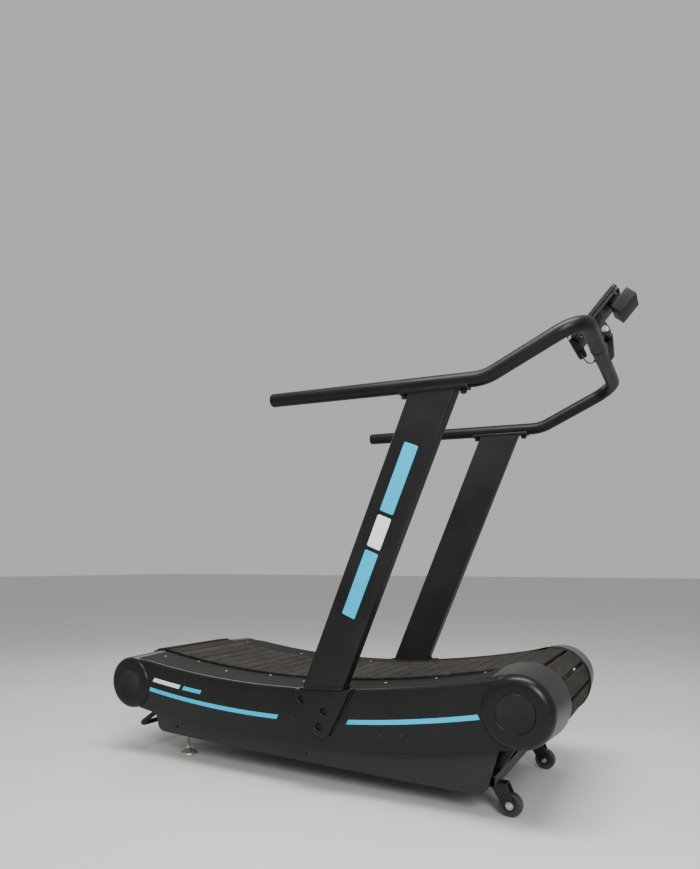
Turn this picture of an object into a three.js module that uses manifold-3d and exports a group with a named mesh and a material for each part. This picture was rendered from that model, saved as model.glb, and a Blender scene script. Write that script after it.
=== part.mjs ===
// Curved manual treadmill: a slat belt on a concave deck, hand rails on two leaning uprights.
// Millimetres. +X forward, +Y to the user's left, +Z up. Origin: on the floor, halfway along the length.

import * as THREE from 'three';
import { mergeVertices } from 'three/addons/utils/BufferGeometryUtils.js';
import Module from 'manifold-3d';

const wasm = await Module();
wasm.setup();

const gap = 0.3;                                  // air between pieces that touch

// Running deck
const frontDrum = { x: 727, z: 367 };             // axis of the front drum
const rearDrum = { x: -905, z: 314 };             // axis of the rear drum
const drumRadius = 123;                           // outside of the slats where they turn
const runRadius = 3850;                           // curve of the running surface
const slat = { count: 62, length: 61.5, thickness: 12, halfWidth: 214 };
const pitchDepth = 14;                            // pitch line below the running surface
const webDepth = 17;                              // underside of the band that the slats are on
const pulley = { radius: 104, inner: 146, outer: 184 };
const shaftRadius = 15;
const drumTubeRadius = 30;
const shaftHalf = 248;
const roller = { radius: 12, count: 14, inner: 152, railTop: 20, railBottom: 60, railWidth: 10, endRoom: 60 };

// Frame
const sidePlate = { inner: 216, outer: 221.5, bore: 18, boss: 58, topDepth: 40 };
const sidePlateFoot = { rear: -695, front: 565, z: 148 };
const rail = { inner: 221.8, outer: 271.8, bottom: 145, top: 195, rear: -835, front: 645, wall: 3 };
const railNose = [[693, 221], [661, 233], [625, 195]];
const crossmember = { bottom: 108, halfX: 20, wall: 3, reach: 340 };
const crossmemberX = { front: 625, mid: 5, rear: -723 };
const skirt = { y: 345, thickness: 3, topDepth: 190, rear: -822, rearZ: 172, archFront: 590, hole: 5 };
const skirtHeel = [[-807, 124], [-791, 110], [-771, 107]];
const skirtBelly = { control: [-121, 82], end: [572, 77] };
const skirtToe = [[603, 80], [622, 100], [660, 238]];
const skirtHoles = [[-699, 138], [-61, 118], [579, 98]];
const bearing = { radius: 36, thickness: 20 };

// Side covers
const cover = { innerY: 222, wall: 4, crease: 130, bottomDepth: 222, dropFrom: 300, dropSlope: 0.022 };
const stripDepth = 9;                             // footrest below the running surface
const stripThickness = 3;
const frontHousing = { rim: 130, side: 117, fillet: 34, y: 421 };
const rearHousing = { rim: 114, side: 107, fillet: 16, y: 418.5 };
const capRadius = 60.5;
const stripe = { top: 113, bottom: 129, thickness: 0.8, rear: [-560, 72], front: [357, 806] };

// Uprights and hand rail
const lean = THREE.MathUtils.degToRad(22.4);
const upright = { width: 150, depth: 50, wall: 3, corner: 7, inner: 370, footLocal: -155 };
const uprightBase = { x: 57, z: 395 };            // on the upright's centre line, at the cover
const uprightTop = { z: 1374, spare: 1300 };      // under the hand rail, and the tube's length before its cut
const shield = { left: -97, right: 88, bottom: -172, top: 90, flare: 24, y: 431, chamfer: 14 };
const footBolts = [{ x: -28, z: 337 }, { x: 63, z: 303 }, { x: 43, z: 247 }];
const bar = { radius: 24, wall: 2.5, y: 405 };
const barEnd = { x: -164, z: 1420 };
const barBend = { x: 630, z: 1391, radius: 150 };
const barCorner = { x: 921, z: 1526, radius: 85 };
const saddle = { length: 240, width: 46, y: 401, base: 27, lip: 15, boltRadius: 11, boltDrop: 13 };

// Console
const consolePivot = { x: 935, z: 1607 };
const consoleTilt = THREE.MathUtils.degToRad(41.3);
const panel = { halfWidth: 60, top: 127, bottom: -81, front: -75, split: -60, back: -48, corner: 12 };

// Wheels, feet and lift handle
const wheel = { x: 677, y: 271, radius: 39, width: 31, hub: 12 };
const forkPlate = 4;
const levelFoot = { x: crossmemberX.rear, y: 255, radius: 43, stem: 6 };
const liftHandle = { radius: 11, y: 249, x: -1020, z: 88, armX: -900, armZ: 170, endX: -815, bend: 34 };

const finishes = {
  slatRubber: [0x4a4642, 0.85, 0.0],
  coverPlastic: [0x1d1d1f, 0.5, 0.0],
  footrestPlastic: [0x2b2b2c, 0.7, 0.0],
  paintedSteel: [0x161618, 0.45, 0.3],
  zincSteel: [0xb4b5b3, 0.35, 1.0],
  accentVinyl: [0x46c8eb, 0.4, 0.0],
  consolePlastic: [0x151617, 0.5, 0.0],
  displayGlass: [0x07080a, 0.15, 0.0],
  wheelRubber: [0x3b3b3d, 0.6, 0.0],
  cableRubber: [0x101010, 0.6, 0.0],
  barGrip: [0x18181a, 0.55, 0.0],
};

const treadmill = new THREE.Group();

function closed(geometry) {
  geometry.deleteAttribute('normal');
  geometry.deleteAttribute('uv');
  const merged = mergeVertices(geometry, 1e-4);
  const corner = merged.index.array;
  const kept = [];
  for (let i = 0; i < corner.length; i += 3) {
    const [a, b, c] = [corner[i], corner[i + 1], corner[i + 2]];
    if (a !== b && b !== c && c !== a) kept.push(a, b, c);
  }
  merged.setIndex(kept);
  return volume(merged) < 0 ? flipped(merged) : merged;
}

function volume(geometry) {
  const place = geometry.attributes.position;
  const corner = geometry.index.array;
  const [a, b, c] = [new THREE.Vector3(), new THREE.Vector3(), new THREE.Vector3()];
  let sum = 0;
  for (let i = 0; i < corner.length; i += 3) {
    a.fromBufferAttribute(place, corner[i]);
    b.fromBufferAttribute(place, corner[i + 1]);
    c.fromBufferAttribute(place, corner[i + 2]);
    sum += a.dot(b.cross(c));
  }
  return sum / 6;
}

function flipped(geometry) {
  const corner = Array.from(geometry.index.array);
  for (let i = 0; i < corner.length; i += 3) {
    [corner[i], corner[i + 1]] = [corner[i + 1], corner[i]];
  }
  geometry.setIndex(corner);
  return geometry;
}

function solid(geometry) {
  const body = closed(geometry);
  const vertProperties = new Float32Array(body.attributes.position.array);
  const triVerts = new Uint32Array(body.index.array);
  return new wasm.Manifold(new wasm.Mesh({ numProp: 3, vertProperties, triVerts }));
}

function geometryOf(body) {
  const mesh = body.getMesh();
  const geometry = new THREE.BufferGeometry();
  geometry.setAttribute('position', new THREE.BufferAttribute(new Float32Array(mesh.vertProperties), 3));
  geometry.setIndex(Array.from(mesh.triVerts));
  return geometry;
}

function joined(geometries) {
  return geometryOf(geometries.map(solid).reduce((whole, next) => whole.add(next)));
}

function cut(geometry, tools) {
  return geometryOf(tools.map(solid).reduce((rest, tool) => rest.subtract(tool), solid(geometry)));
}

function common(first, second) {
  return geometryOf(solid(first).intersect(solid(second)));
}

function mirrored(geometry) {
  return flipped(closed(geometry.clone()).scale(1, -1, 1));
}

function add(name, geometry, finish) {
  const [color, roughness, metalness] = finishes[finish];
  const body = closed(geometry.clone());
  body.computeVertexNormals();
  const mesh = new THREE.Mesh(body, new THREE.MeshStandardMaterial({ color, roughness, metalness }));
  mesh.name = name;
  treadmill.add(mesh);
}

// The user's right is the -Y side.
function addPair(name, rightGeometry, finish) {
  add(`${name}_right`, rightGeometry, finish);
  add(`${name}_left`, mirrored(rightGeometry), finish);
}

function outline(points) {
  return new THREE.Shape(points.map(([a, b]) => new THREE.Vector2(a, b)));
}

function rectangle(a0, b0, a1, b1) {
  return outline([[a0, b0], [a1, b0], [a1, b1], [a0, b1]]);
}

function roundedRectangle(a0, b0, a1, b1, radius) {
  const shape = new THREE.Shape();
  shape.absarc(a1 - radius, b0 + radius, radius, -Math.PI / 2, 0);
  shape.absarc(a1 - radius, b1 - radius, radius, 0, Math.PI / 2);
  shape.absarc(a0 + radius, b1 - radius, radius, Math.PI / 2, Math.PI);
  shape.absarc(a0 + radius, b0 + radius, radius, Math.PI, 1.5 * Math.PI);
  return shape;
}

function circle(a, b, radius) {
  return new THREE.Shape().absarc(a, b, radius, 0, 2 * Math.PI);
}

// An outline in X and Z, given a thickness along Y.
function plateY(shape, y0, y1, curveSegments = 12) {
  const [low, high] = [Math.min(y0, y1), Math.max(y0, y1)];
  const options = { depth: high - low, bevelEnabled: false, curveSegments };
  return new THREE.ExtrudeGeometry(shape, options).rotateX(Math.PI / 2).translate(0, high, 0);
}

// An outline in Y and Z, given a length along X.
function barX(shape, x0, x1, options = {}) {
  const geometry = new THREE.ExtrudeGeometry(shape, { depth: x1 - x0, bevelEnabled: false, ...options });
  const axes = new THREE.Matrix4().makeBasis(
    new THREE.Vector3(0, 1, 0),
    new THREE.Vector3(0, 0, 1),
    new THREE.Vector3(1, 0, 0),
  );
  return geometry.applyMatrix4(axes).translate(x0, 0, 0);
}

function box(x0, x1, y0, y1, z0, z1) {
  return new THREE.BoxGeometry(x1 - x0, y1 - y0, z1 - z0)
    .translate((x0 + x1) / 2, (y0 + y1) / 2, (z0 + z1) / 2);
}

// A round bar along Y.
function pinY(x, z, radius, y0, y1, sides = 20) {
  return new THREE.CylinderGeometry(radius, radius, Math.abs(y1 - y0), sides)
    .translate(x, (y0 + y1) / 2, z);
}

// A profile of [radius, y] turned about a Y axis through (x, z).
function turnedY(x, z, profile, sides = 32) {
  const points = profile.map(([radius, y]) => new THREE.Vector2(radius, y));
  return new THREE.LatheGeometry(points, sides).translate(x, 0, z);
}

function turnedZ(x, y, profile, sides = 24) {
  return turnedY(0, 0, profile, sides).rotateX(Math.PI / 2).translate(x, y, 0);
}

// A path whose stations are already chosen, so that straights cost one step.
class StationPath extends THREE.Curve {
  constructor(stations) {
    super();
    this.stations = stations;
  }

  station(t) {
    return this.stations[Math.round(t * (this.stations.length - 1))];
  }

  getPoint(t, target = new THREE.Vector3()) {
    return target.copy(this.station(t).point);
  }

  getPointAt(t, target) {
    return this.getPoint(t, target);
  }

  getTangentAt(t, target = new THREE.Vector3()) {
    return target.copy(this.station(t).tangent);
  }
}

// Stations along straight legs through the corners, each corner rounded to its own radius.
function roundedStations(corners, stepsPerBend) {
  const stations = [];
  const along = (from, to) => to.clone().sub(from).normalize();
  const last = corners.length - 1;
  stations.push({ point: corners[0].at, tangent: along(corners[0].at, corners[1].at) });
  for (let i = 1; i < last; i += 1) {
    const before = along(corners[i - 1].at, corners[i].at);
    const after = along(corners[i].at, corners[i + 1].at);
    const turn = before.angleTo(after);
    const side = after.clone().addScaledVector(before, -after.dot(before)).normalize();
    const start = corners[i].at.clone().addScaledVector(before, -corners[i].radius * Math.tan(turn / 2));
    const centre = start.clone().addScaledVector(side, corners[i].radius);
    for (let step = 0; step <= stepsPerBend; step += 1) {
      const angle = turn * step / stepsPerBend;
      const point = centre.clone()
        .addScaledVector(side, -corners[i].radius * Math.cos(angle))
        .addScaledVector(before, corners[i].radius * Math.sin(angle));
      const tangent = before.clone().multiplyScalar(Math.cos(angle)).addScaledVector(side, Math.sin(angle));
      stations.push({ point, tangent });
    }
  }
  stations.push({ point: corners[last].at, tangent: along(corners[last - 1].at, corners[last].at) });
  return stations;
}

function tubeAlong(stations, radius, wall, sides) {
  const section = circle(0, 0, radius);
  if (wall > 0) section.holes.push(new THREE.Path().absarc(0, 0, radius - wall, 0, 2 * Math.PI));
  return new THREE.ExtrudeGeometry(section, {
    steps: stations.length - 1,
    curveSegments: sides / 2,
    extrudePath: new StationPath(stations),
  });
}

// ---- The belt's path ----

const runCentre = arcCentre();
const frontPhi = Math.atan2(frontDrum.x - runCentre.x, runCentre.z - frontDrum.z);
const rearPhi = Math.atan2(rearDrum.x - runCentre.x, runCentre.z - rearDrum.z);
const runFront = frontPhi * runRadius;            // distance along the run, from its lowest point
const runRear = rearPhi * runRadius;

// The running surface is an arc that meets both drums smoothly.
function arcCentre() {
  const reach = runRadius + drumRadius;
  const mid = { x: (frontDrum.x + rearDrum.x) / 2, z: (frontDrum.z + rearDrum.z) / 2 };
  const span = Math.hypot(frontDrum.x - rearDrum.x, frontDrum.z - rearDrum.z);
  const rise = Math.sqrt(reach ** 2 - (span / 2) ** 2);
  return {
    x: mid.x - rise * (frontDrum.z - rearDrum.z) / span,
    z: mid.z + rise * (frontDrum.x - rearDrum.x) / span,
  };
}

// Four legs of the loop at a depth below the running surface: run, front drum, return, rear drum.
function beltLegs(depth) {
  const radius = drumRadius - depth;
  const span = Math.hypot(frontDrum.x - rearDrum.x, frontDrum.z - rearDrum.z);
  const downAngle = Math.atan2(-(frontDrum.x - rearDrum.x), frontDrum.z - rearDrum.z);
  const frontTop = Math.PI / 2 + frontPhi;
  const rearTop = Math.PI / 2 + rearPhi - 2 * Math.PI;
  const runLength = (runRadius + depth) * (frontPhi - rearPhi);
  const run = (t) => onRun(rearPhi + (frontPhi - rearPhi) * t, depth);
  const round = (drum, from, to) => (t) => {
    const angle = from + (to - from) * t;
    return {
      x: drum.x + radius * Math.cos(angle),
      z: drum.z + radius * Math.sin(angle),
      turn: Math.PI / 2 - angle,
    };
  };
  const back = (t) => ({
    x: frontDrum.x + (rearDrum.x - frontDrum.x) * t + radius * Math.cos(downAngle),
    z: frontDrum.z + (rearDrum.z - frontDrum.z) * t + radius * Math.sin(downAngle),
    turn: Math.PI / 2 - downAngle,
  });
  return [
    { length: runLength, at: run, steps: 20 },
    { length: radius * (frontTop - downAngle), at: round(frontDrum, frontTop, downAngle), steps: 12 },
    { length: span, at: back, steps: 1 },
    { length: radius * (downAngle - rearTop), at: round(rearDrum, downAngle, rearTop), steps: 12 },
  ];
}

function onRun(phi, depth) {
  const radius = runRadius + depth;
  return { x: runCentre.x + radius * Math.sin(phi), z: runCentre.z - radius * Math.cos(phi), turn: -phi };
}

// Bends a straight piece onto the run: x is distance along it, z is height over the surface.
function bentToRun(geometry) {
  const place = geometry.attributes.position;
  for (let i = 0; i < place.count; i += 1) {
    const at = onRun(place.getX(i) / runRadius, -place.getZ(i));
    place.setX(i, at.x);
    place.setZ(i, at.z);
  }
  return geometry;
}

function loopOutline(depth, Kind) {
  const points = [];
  for (const leg of beltLegs(depth)) {
    for (let step = 0; step < leg.steps; step += 1) {
      const at = leg.at(step / leg.steps);
      points.push(new THREE.Vector2(at.x, at.z));
    }
  }
  return new Kind(points.reverse());
}

// ---- Belt, drums and rollers ----

// One closed band: each slat is a tooth on a web that runs on the drums.
function slatBelt() {
  const legs = beltLegs(pitchDepth);
  const total = legs.reduce((sum, leg) => sum + leg.length, 0);
  const teeth = [];
  for (let i = 0; i < slat.count; i += 1) {
    let distance = total * (i + 0.5) / slat.count;
    let leg = 0;
    while (distance > legs[leg].length) {
      distance -= legs[leg].length;
      leg += 1;
    }
    const at = legs[leg].at(distance / legs[leg].length);
    const half = slat.length / 2;
    const foot = pitchDepth - slat.thickness;
    for (const [along, out] of [[-half, foot], [-half, pitchDepth], [half, pitchDepth], [half, foot]]) {
      teeth.push(new THREE.Vector2(
        at.x + along * Math.cos(at.turn) + out * Math.sin(at.turn),
        at.z - along * Math.sin(at.turn) + out * Math.cos(at.turn),
      ));
    }
  }
  const shape = new THREE.Shape(teeth.reverse());
  shape.holes.push(loopOutline(webDepth, THREE.Path));
  return plateY(shape, -slat.halfWidth, slat.halfWidth);
}

function drum(axis) {
  const half = [
    [drumTubeRadius, -pulley.inner],
    [pulley.radius, -pulley.inner],
    [pulley.radius, -pulley.outer],
    [shaftRadius, -pulley.outer],
    [shaftRadius, -shaftHalf],
    [0, -shaftHalf],
  ];
  const otherHalf = half.map(([radius, y]) => [radius, -y]).reverse();
  return turnedY(axis.x, axis.z, [...otherHalf, ...half], 20);
}

function flangeBearing(axis) {
  const bore = shaftRadius + 0.4;
  const start = -sidePlate.outer - gap;
  const profile = [
    [bore, start],
    [bearing.radius, start],
    [bearing.radius, start - bearing.thickness / 2],
    [bore + 10, start - bearing.thickness],
    [bore, start - bearing.thickness],
    [bore, start],
  ];
  return turnedY(axis.x, axis.z, profile, 14);
}

function sidePlateShape() {
  const shape = new THREE.Shape();
  const topRadius = runRadius + sidePlate.topDepth;
  shape.moveTo(sidePlateFoot.rear, sidePlateFoot.z);
  shape.lineTo(sidePlateFoot.front, sidePlateFoot.z);
  shape.absarc(frontDrum.x, frontDrum.z, sidePlate.boss, -Math.PI / 4, Math.PI / 2);
  const frontEdge = frontPhi - 0.03;
  const rearEdge = rearPhi + 0.03;
  for (let step = 0; step <= 10; step += 1) {
    const phi = frontEdge + (rearEdge - frontEdge) * step / 10;
    shape.lineTo(runCentre.x + topRadius * Math.sin(phi), runCentre.z - topRadius * Math.cos(phi));
  }
  shape.absarc(rearDrum.x, rearDrum.z, sidePlate.boss, Math.PI / 2, 1.25 * Math.PI);
  for (const axis of [frontDrum, rearDrum]) {
    shape.holes.push(new THREE.Path().absarc(axis.x, axis.z, sidePlate.bore, 0, 2 * Math.PI));
  }
  return shape;
}

// A curved bar on the side plate with rollers that carry the belt.
function rollerRail() {
  const depth = webDepth + gap + roller.radius;
  const barOuter = -sidePlate.inner + gap;
  const barInner = barOuter + roller.railWidth;
  const ends = [runRear + roller.endRoom, runFront - roller.endRoom];
  const strip = rectangle(barOuter, -roller.railBottom, barInner, -roller.railTop);
  const pieces = [bentToRun(barX(strip, ends[0], ends[1], { steps: 20 }))];
  for (let i = 0; i < roller.count; i += 1) {
    const along = ends[0] + (ends[1] - ends[0]) * (i + 0.5) / roller.count;
    const at = onRun(along / runRadius, depth);
    pieces.push(pinY(at.x, at.z, roller.radius - gap, barInner - 4, -roller.inner, 6));
  }
  return joined(pieces);
}

// ---- Frame ----

function sideRail() {
  const nose = outline([
    [rail.rear, rail.bottom],
    [rail.front, rail.bottom],
    ...railNose,
    [rail.rear, rail.top],
  ]);
  const hollow = box(
    rail.rear - 1,
    rail.front - 30,
    -rail.outer + rail.wall,
    -rail.inner - rail.wall,
    rail.bottom + rail.wall,
    rail.top - rail.wall,
  );
  const stemHole = turnedZ(levelFoot.x, -levelFoot.y, [[0, 140], [7, 140], [7, 160], [0, 160]], 12);
  return cut(plateY(nose, -rail.outer, -rail.inner), [hollow, stemHole]);
}

function crossTube(x, holes) {
  const [low, high] = [crossmember.bottom, rail.bottom - gap];
  const section = rectangle(x - crossmember.halfX, low, x + crossmember.halfX, high);
  const inside = crossmember.halfX - crossmember.wall;
  const [floor, roof] = [low + crossmember.wall, high - crossmember.wall];
  const hollow = [[x - inside, floor], [x + inside, floor], [x + inside, roof], [x - inside, roof]];
  section.holes.push(new THREE.Path(hollow.map(([a, b]) => new THREE.Vector2(a, b))));
  const tube = plateY(section, -crossmember.reach, crossmember.reach);
  return holes.length ? cut(tube, holes) : tube;
}

function stemHoles() {
  return [-1, 1].map((side) => {
    const profile = [[0, crossmember.bottom - 5], [7, crossmember.bottom - 5], [7, 150], [0, 150]];
    return turnedZ(levelFoot.x, side * levelFoot.y, profile, 12);
  });
}

// Outrigger from the side rail to the plate that the upright is bolted to.
function uprightBracket() {
  const plateOuter = -upright.inner + gap;
  const plate = uprightPlate(rectangle(-70, -152, 62, -68), plateOuter, plateOuter + 10);
  const arm = box(-55, 55, plateOuter + 5, -rail.inner - 4, rail.top + 10, rail.top + 50);
  const seat = box(-55, 55, -rail.outer + 2, -rail.inner - 4, rail.top + gap, rail.top + 12);
  return cut(joined([plate, arm, seat]), footBolts.map(({ x, z }) => pinY(x, z, 6.5, -380, -340, 6)));
}

function skirtPlate() {
  const shape = new THREE.Shape();
  const topRadius = runRadius + skirt.topDepth;
  shape.moveTo(skirt.rear, skirt.rearZ);
  skirtHeel.forEach(([x, z]) => shape.lineTo(x, z));
  shape.quadraticCurveTo(...skirtBelly.control, ...skirtBelly.end);
  skirtToe.forEach(([x, z]) => shape.lineTo(x, z));
  const from = Math.asin((skirt.archFront - runCentre.x) / topRadius);
  const to = Math.asin((skirt.rear - runCentre.x) / topRadius);
  for (let step = 0; step <= 12; step += 1) {
    const phi = from + (to - from) * step / 12;
    shape.lineTo(runCentre.x + topRadius * Math.sin(phi), runCentre.z - topRadius * Math.cos(phi));
  }
  for (const [x, z] of skirtHoles) {
    shape.holes.push(new THREE.Path().absarc(x, z, skirt.hole, 0, 2 * Math.PI));
  }
  return plateY(shape, -skirt.y, -skirt.y + skirt.thickness, 4);
}

// ---- Side covers ----

function housingProfile(housing, inset) {
  const r = housing.fillet - inset;
  const centre = { radius: housing.side - housing.fillet, y: housing.y - housing.fillet };
  const innerY = cover.innerY - (inset ? 10 : 0);
  const profile = [[0, -innerY], [housing.rim - inset, -innerY]];
  for (const degrees of [0, 45, 90]) {
    const angle = THREE.MathUtils.degToRad(degrees);
    profile.push([centre.radius + r * Math.cos(angle), -centre.y - r * Math.sin(angle)]);
  }
  profile.push([0, -housing.y + inset]);
  return profile;
}

function bandSection(inset) {
  if (inset) {
    return outline([
      [-212, -stripDepth - stripThickness - 2 * gap - cover.wall],
      [-396, -17],
      [-402, -24],
      [-406, -cover.crease],
      [-388, -cover.bottomDepth - 1],
      [-212, -cover.bottomDepth - 1],
    ]);
  }
  return outline([
    [-cover.innerY, -stripDepth - stripThickness - 2 * gap],
    [-389, -stripDepth - stripThickness - 2 * gap],
    [-389, -stripDepth],
    [-397, -stripDepth - 0.5],
    [-403, -14],
    [-406, -22],
    [-410, -cover.crease],
    [-392, -cover.bottomDepth],
    [-cover.innerY, -cover.bottomDepth],
  ]);
}

// Lowers the bottom edge of a side cover, ever more towards the front.
function deepened(geometry) {
  const place = geometry.attributes.position;
  for (let i = 0; i < place.count; i += 1) {
    const share = Math.max(0, (-place.getZ(i) - cover.crease) / (cover.bottomDepth - cover.crease));
    const extra = cover.dropSlope * Math.max(0, place.getX(i) - cover.dropFrom);
    place.setZ(i, place.getZ(i) - share * extra);
  }
  return geometry;
}

function alongRun(shape, from, to, steps) {
  return bentToRun(barX(shape, from, to, { steps }));
}

// An outline in the upright's own plane: across it and along it.
function uprightPlate(shape, y0, y1) {
  return plateY(shape, y0, y1, 3)
    .rotateY(lean)
    .translate(uprightBase.x, 0, uprightBase.z);
}

function uprightClearance() {
  const room = 6;
  const half = upright.width / 2 + room;
  const shape = rectangle(-half, upright.footLocal - room, half, 260);
  return uprightPlate(shape, -upright.inner + room, -upright.inner - upright.depth - room);
}

function shieldBlock() {
  const { left, right, bottom, top, flare, chamfer, y } = shield;
  const face = outline([
    [left + chamfer / 2, bottom],
    [right - chamfer, bottom],
    [right, bottom + chamfer],
    [right + flare, top],
    [left, top],
    [left, bottom + chamfer / 2],
  ]);
  const belowRun = alongRun(rectangle(-y - 5, -260, -300, -stripDepth), -100, 600, 8);
  return common(uprightPlate(face, -y, -395), belowRun);
}

function sideCover() {
  const [outerBand, innerBand] = [0, cover.wall].map((inset) => (
    bentToRun(deepened(barX(bandSection(inset), runRear, runFront, { steps: 14 })))));
  const outside = joined([
    outerBand,
    turnedY(frontDrum.x, frontDrum.z, housingProfile(frontHousing, 0), 24),
    turnedY(rearDrum.x, rearDrum.z, housingProfile(rearHousing, 0), 24),
    shieldBlock(),
  ]);
  const capSeats = [[frontDrum, frontHousing], [rearDrum, rearHousing]].map(([axis, housing]) => (
    pinY(axis.x, axis.z, capRadius + gap, -housing.y - 5, -housing.y + 2, 24)));
  return cut(outside, [
    innerBand,
    turnedY(frontDrum.x, frontDrum.z, housingProfile(frontHousing, cover.wall), 24),
    turnedY(rearDrum.x, rearDrum.z, housingProfile(rearHousing, cover.wall), 24),
    uprightClearance(),
    ...capSeats,
    ...footBolts.map(({ x, z }) => pinY(x, z, 12, -440, -400, 10)),
  ]);
}

function endCap(axis, housing) {
  const profile = [
    [0, -housing.y + 2 - gap],
    [capRadius - gap, -housing.y + 2 - gap],
    [capRadius - gap, -housing.y + 0.6],
    [capRadius - 2, -housing.y],
    [0, -housing.y],
  ];
  return turnedY(axis.x, axis.z, profile, 24);
}

// Where a strip at this depth meets a drum housing, as distance from the drum along the run.
function housingReach(radius, depth) {
  return Math.sqrt(radius ** 2 - (drumRadius - depth) ** 2) + 4;
}

function footrest() {
  const shape = rectangle(-388.5, -stripDepth - stripThickness, -cover.innerY + 2, -stripDepth);
  const from = runRear + housingReach(rearHousing.rim, stripDepth + stripThickness);
  const to = runFront - housingReach(frontHousing.rim, stripDepth);
  return cut(alongRun(shape, from, to, 14), [uprightClearance()]);
}

// Depth is measured down the cover's upper side face, which leans out to the crease.
function sideStripe(from, to) {
  const faceY = (depth) => -406 - 4 * (depth - 22) / 108;
  const section = outline([
    [faceY(stripe.top) - gap, -stripe.top],
    [faceY(stripe.top) - gap - stripe.thickness, -stripe.top],
    [faceY(stripe.bottom) - gap - stripe.thickness, -stripe.bottom],
    [faceY(stripe.bottom) - gap, -stripe.bottom],
  ]);
  return alongRun(section, from, to, 8);
}

// ---- Uprights and hand rail ----

function barSlope() {
  return Math.atan2(barEnd.z - barBend.z, barBend.x - barEnd.x);
}

function barHeightAt(x) {
  return barEnd.z - (x - barEnd.x) * Math.tan(barSlope());
}

function uprightTube() {
  const half = upright.width / 2;
  const depth = upright.depth / 2;
  const section = roundedRectangle(-half, -depth, half, depth, upright.corner);
  const inner = roundedRectangle(
    -half + upright.wall,
    -depth + upright.wall,
    half - upright.wall,
    depth - upright.wall,
    upright.corner - upright.wall,
  );
  section.holes.push(new THREE.Path(inner.getPoints(3)));
  const options = { depth: uprightTop.spare, bevelEnabled: false, curveSegments: 3 };
  const tube = new THREE.ExtrudeGeometry(section, options)
    .translate(0, -upright.inner - depth, upright.footLocal)
    .rotateY(lean)
    .translate(uprightBase.x, 0, uprightBase.z);
  const drop = saddle.base + gap;
  const below = outline([
    [-400, 0],
    [900, 0],
    [900, barHeightAt(900) - drop],
    [-400, barHeightAt(-400) - drop],
  ]);
  const boltHoles = footBolts.map(({ x, z }) => pinY(x, z, 6.5, -450, -350, 6));
  return cut(common(tube, plateY(below, -500, -300)), boltHoles);
}

function barSaddle() {
  const x = uprightBase.x + (uprightTop.z - uprightBase.z) * Math.tan(lean);
  const z = barHeightAt(x);
  const block = box(-saddle.length / 2, saddle.length / 2, -saddle.width / 2, saddle.width / 2, -saddle.base,
    -saddle.lip);
  const boltHeads = [-1, 1].map((end) => (
    turnedZ(end * (saddle.length / 2 - 18), 0, [
      [0, -saddle.base - saddle.boltDrop],
      [saddle.boltRadius, -saddle.base - saddle.boltDrop],
      [saddle.boltRadius, -saddle.base + 2],
      [0, -saddle.base + 2],
    ], 6)));
  const place = (geometry) => geometry.rotateY(barSlope()).translate(x, -saddle.y, z);
  const groove = new THREE.CylinderGeometry(bar.radius + 0.6, bar.radius + 0.6, 400, 28)
    .rotateZ(Math.PI / 2)
    .rotateY(barSlope())
    .translate(x, -bar.y, z);
  return cut(place(joined([block, ...boltHeads])), [groove]);
}

function handlebar() {
  const side = (y) => [
    { at: new THREE.Vector3(barEnd.x, y, barEnd.z) },
    { at: new THREE.Vector3(barBend.x, y, barBend.z), radius: barBend.radius },
    { at: new THREE.Vector3(barCorner.x, y, barCorner.z), radius: barCorner.radius },
  ];
  const stations = roundedStations([...side(-bar.y), ...side(bar.y).reverse()], 5);
  return tubeAlong(stations, bar.radius, bar.wall, 12);
}

function barPlug() {
  const spigot = bar.radius - bar.wall - 1.6;
  const profile = [[0, 24], [spigot, 24], [spigot, -gap], [bar.radius, -gap], [bar.radius - 1, -3.5],
    [bar.radius - 6, -7], [0, -9]];
  return turnedY(0, 0, profile, 20)
    .rotateZ(-Math.PI / 2)
    .rotateY(barSlope())
    .translate(barEnd.x, -bar.y, barEnd.z);
}

// Three cap screws on a shared load plate inside the shield.
function uprightBolts() {
  const face = -upright.inner - upright.depth - gap;
  const loadPlate = outline([[-70, -98], [30, -154], [56, -154], [56, -70], [-70, -74]]);
  const pieces = [uprightPlate(loadPlate, face, face - 2)];
  for (const { x, z } of footBolts) {
    pieces.push(pinY(x, z, 5, face - 1, -352, 6));
    pieces.push(pinY(x, z, 9, face - 1, face - 5, 8));
  }
  return joined(pieces);
}

// ---- Console ----

function onConsole(geometry) {
  return geometry.rotateY(consoleTilt).translate(consolePivot.x, 0, consolePivot.z);
}

function consoleBracket() {
  const cheek = new THREE.Shape();
  cheek.moveTo(-14, 0);
  cheek.lineTo(-26, -66);
  cheek.lineTo(0, -94);
  cheek.lineTo(22, -72);
  cheek.absarc(0, 0, 17, 0, Math.PI);
  cheek.holes.push(new THREE.Path().absarc(0, 0, 6.4, 0, 2 * Math.PI));
  const web = box(-14, 6, -40, 40, -92, -46);
  const pieces = [plateY(cheek, -42, -38, 10), plateY(cheek, 38, 42, 10), web];
  const placed = joined(pieces).translate(consolePivot.x, 0, consolePivot.z);
  return cut(placed, [pinY(barCorner.x, barCorner.z, bar.radius + 0.5, -60, 60, 20)]);
}

function pivotBolt() {
  const profile = [[0, -52], [10, -52], [10, -42.3], [6, -42.3], [6, 42.3], [10, 42.3], [10, 50], [0, 50]];
  return turnedY(consolePivot.x, consolePivot.z, profile, 16);
}

function panelOutline(inset) {
  const half = panel.halfWidth - inset;
  return roundedRectangle(-half, panel.bottom + inset, half, panel.top - inset, panel.corner - inset);
}

const screen = { halfWidth: 47, bottom: 0, top: 112, depth: 2 };

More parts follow.
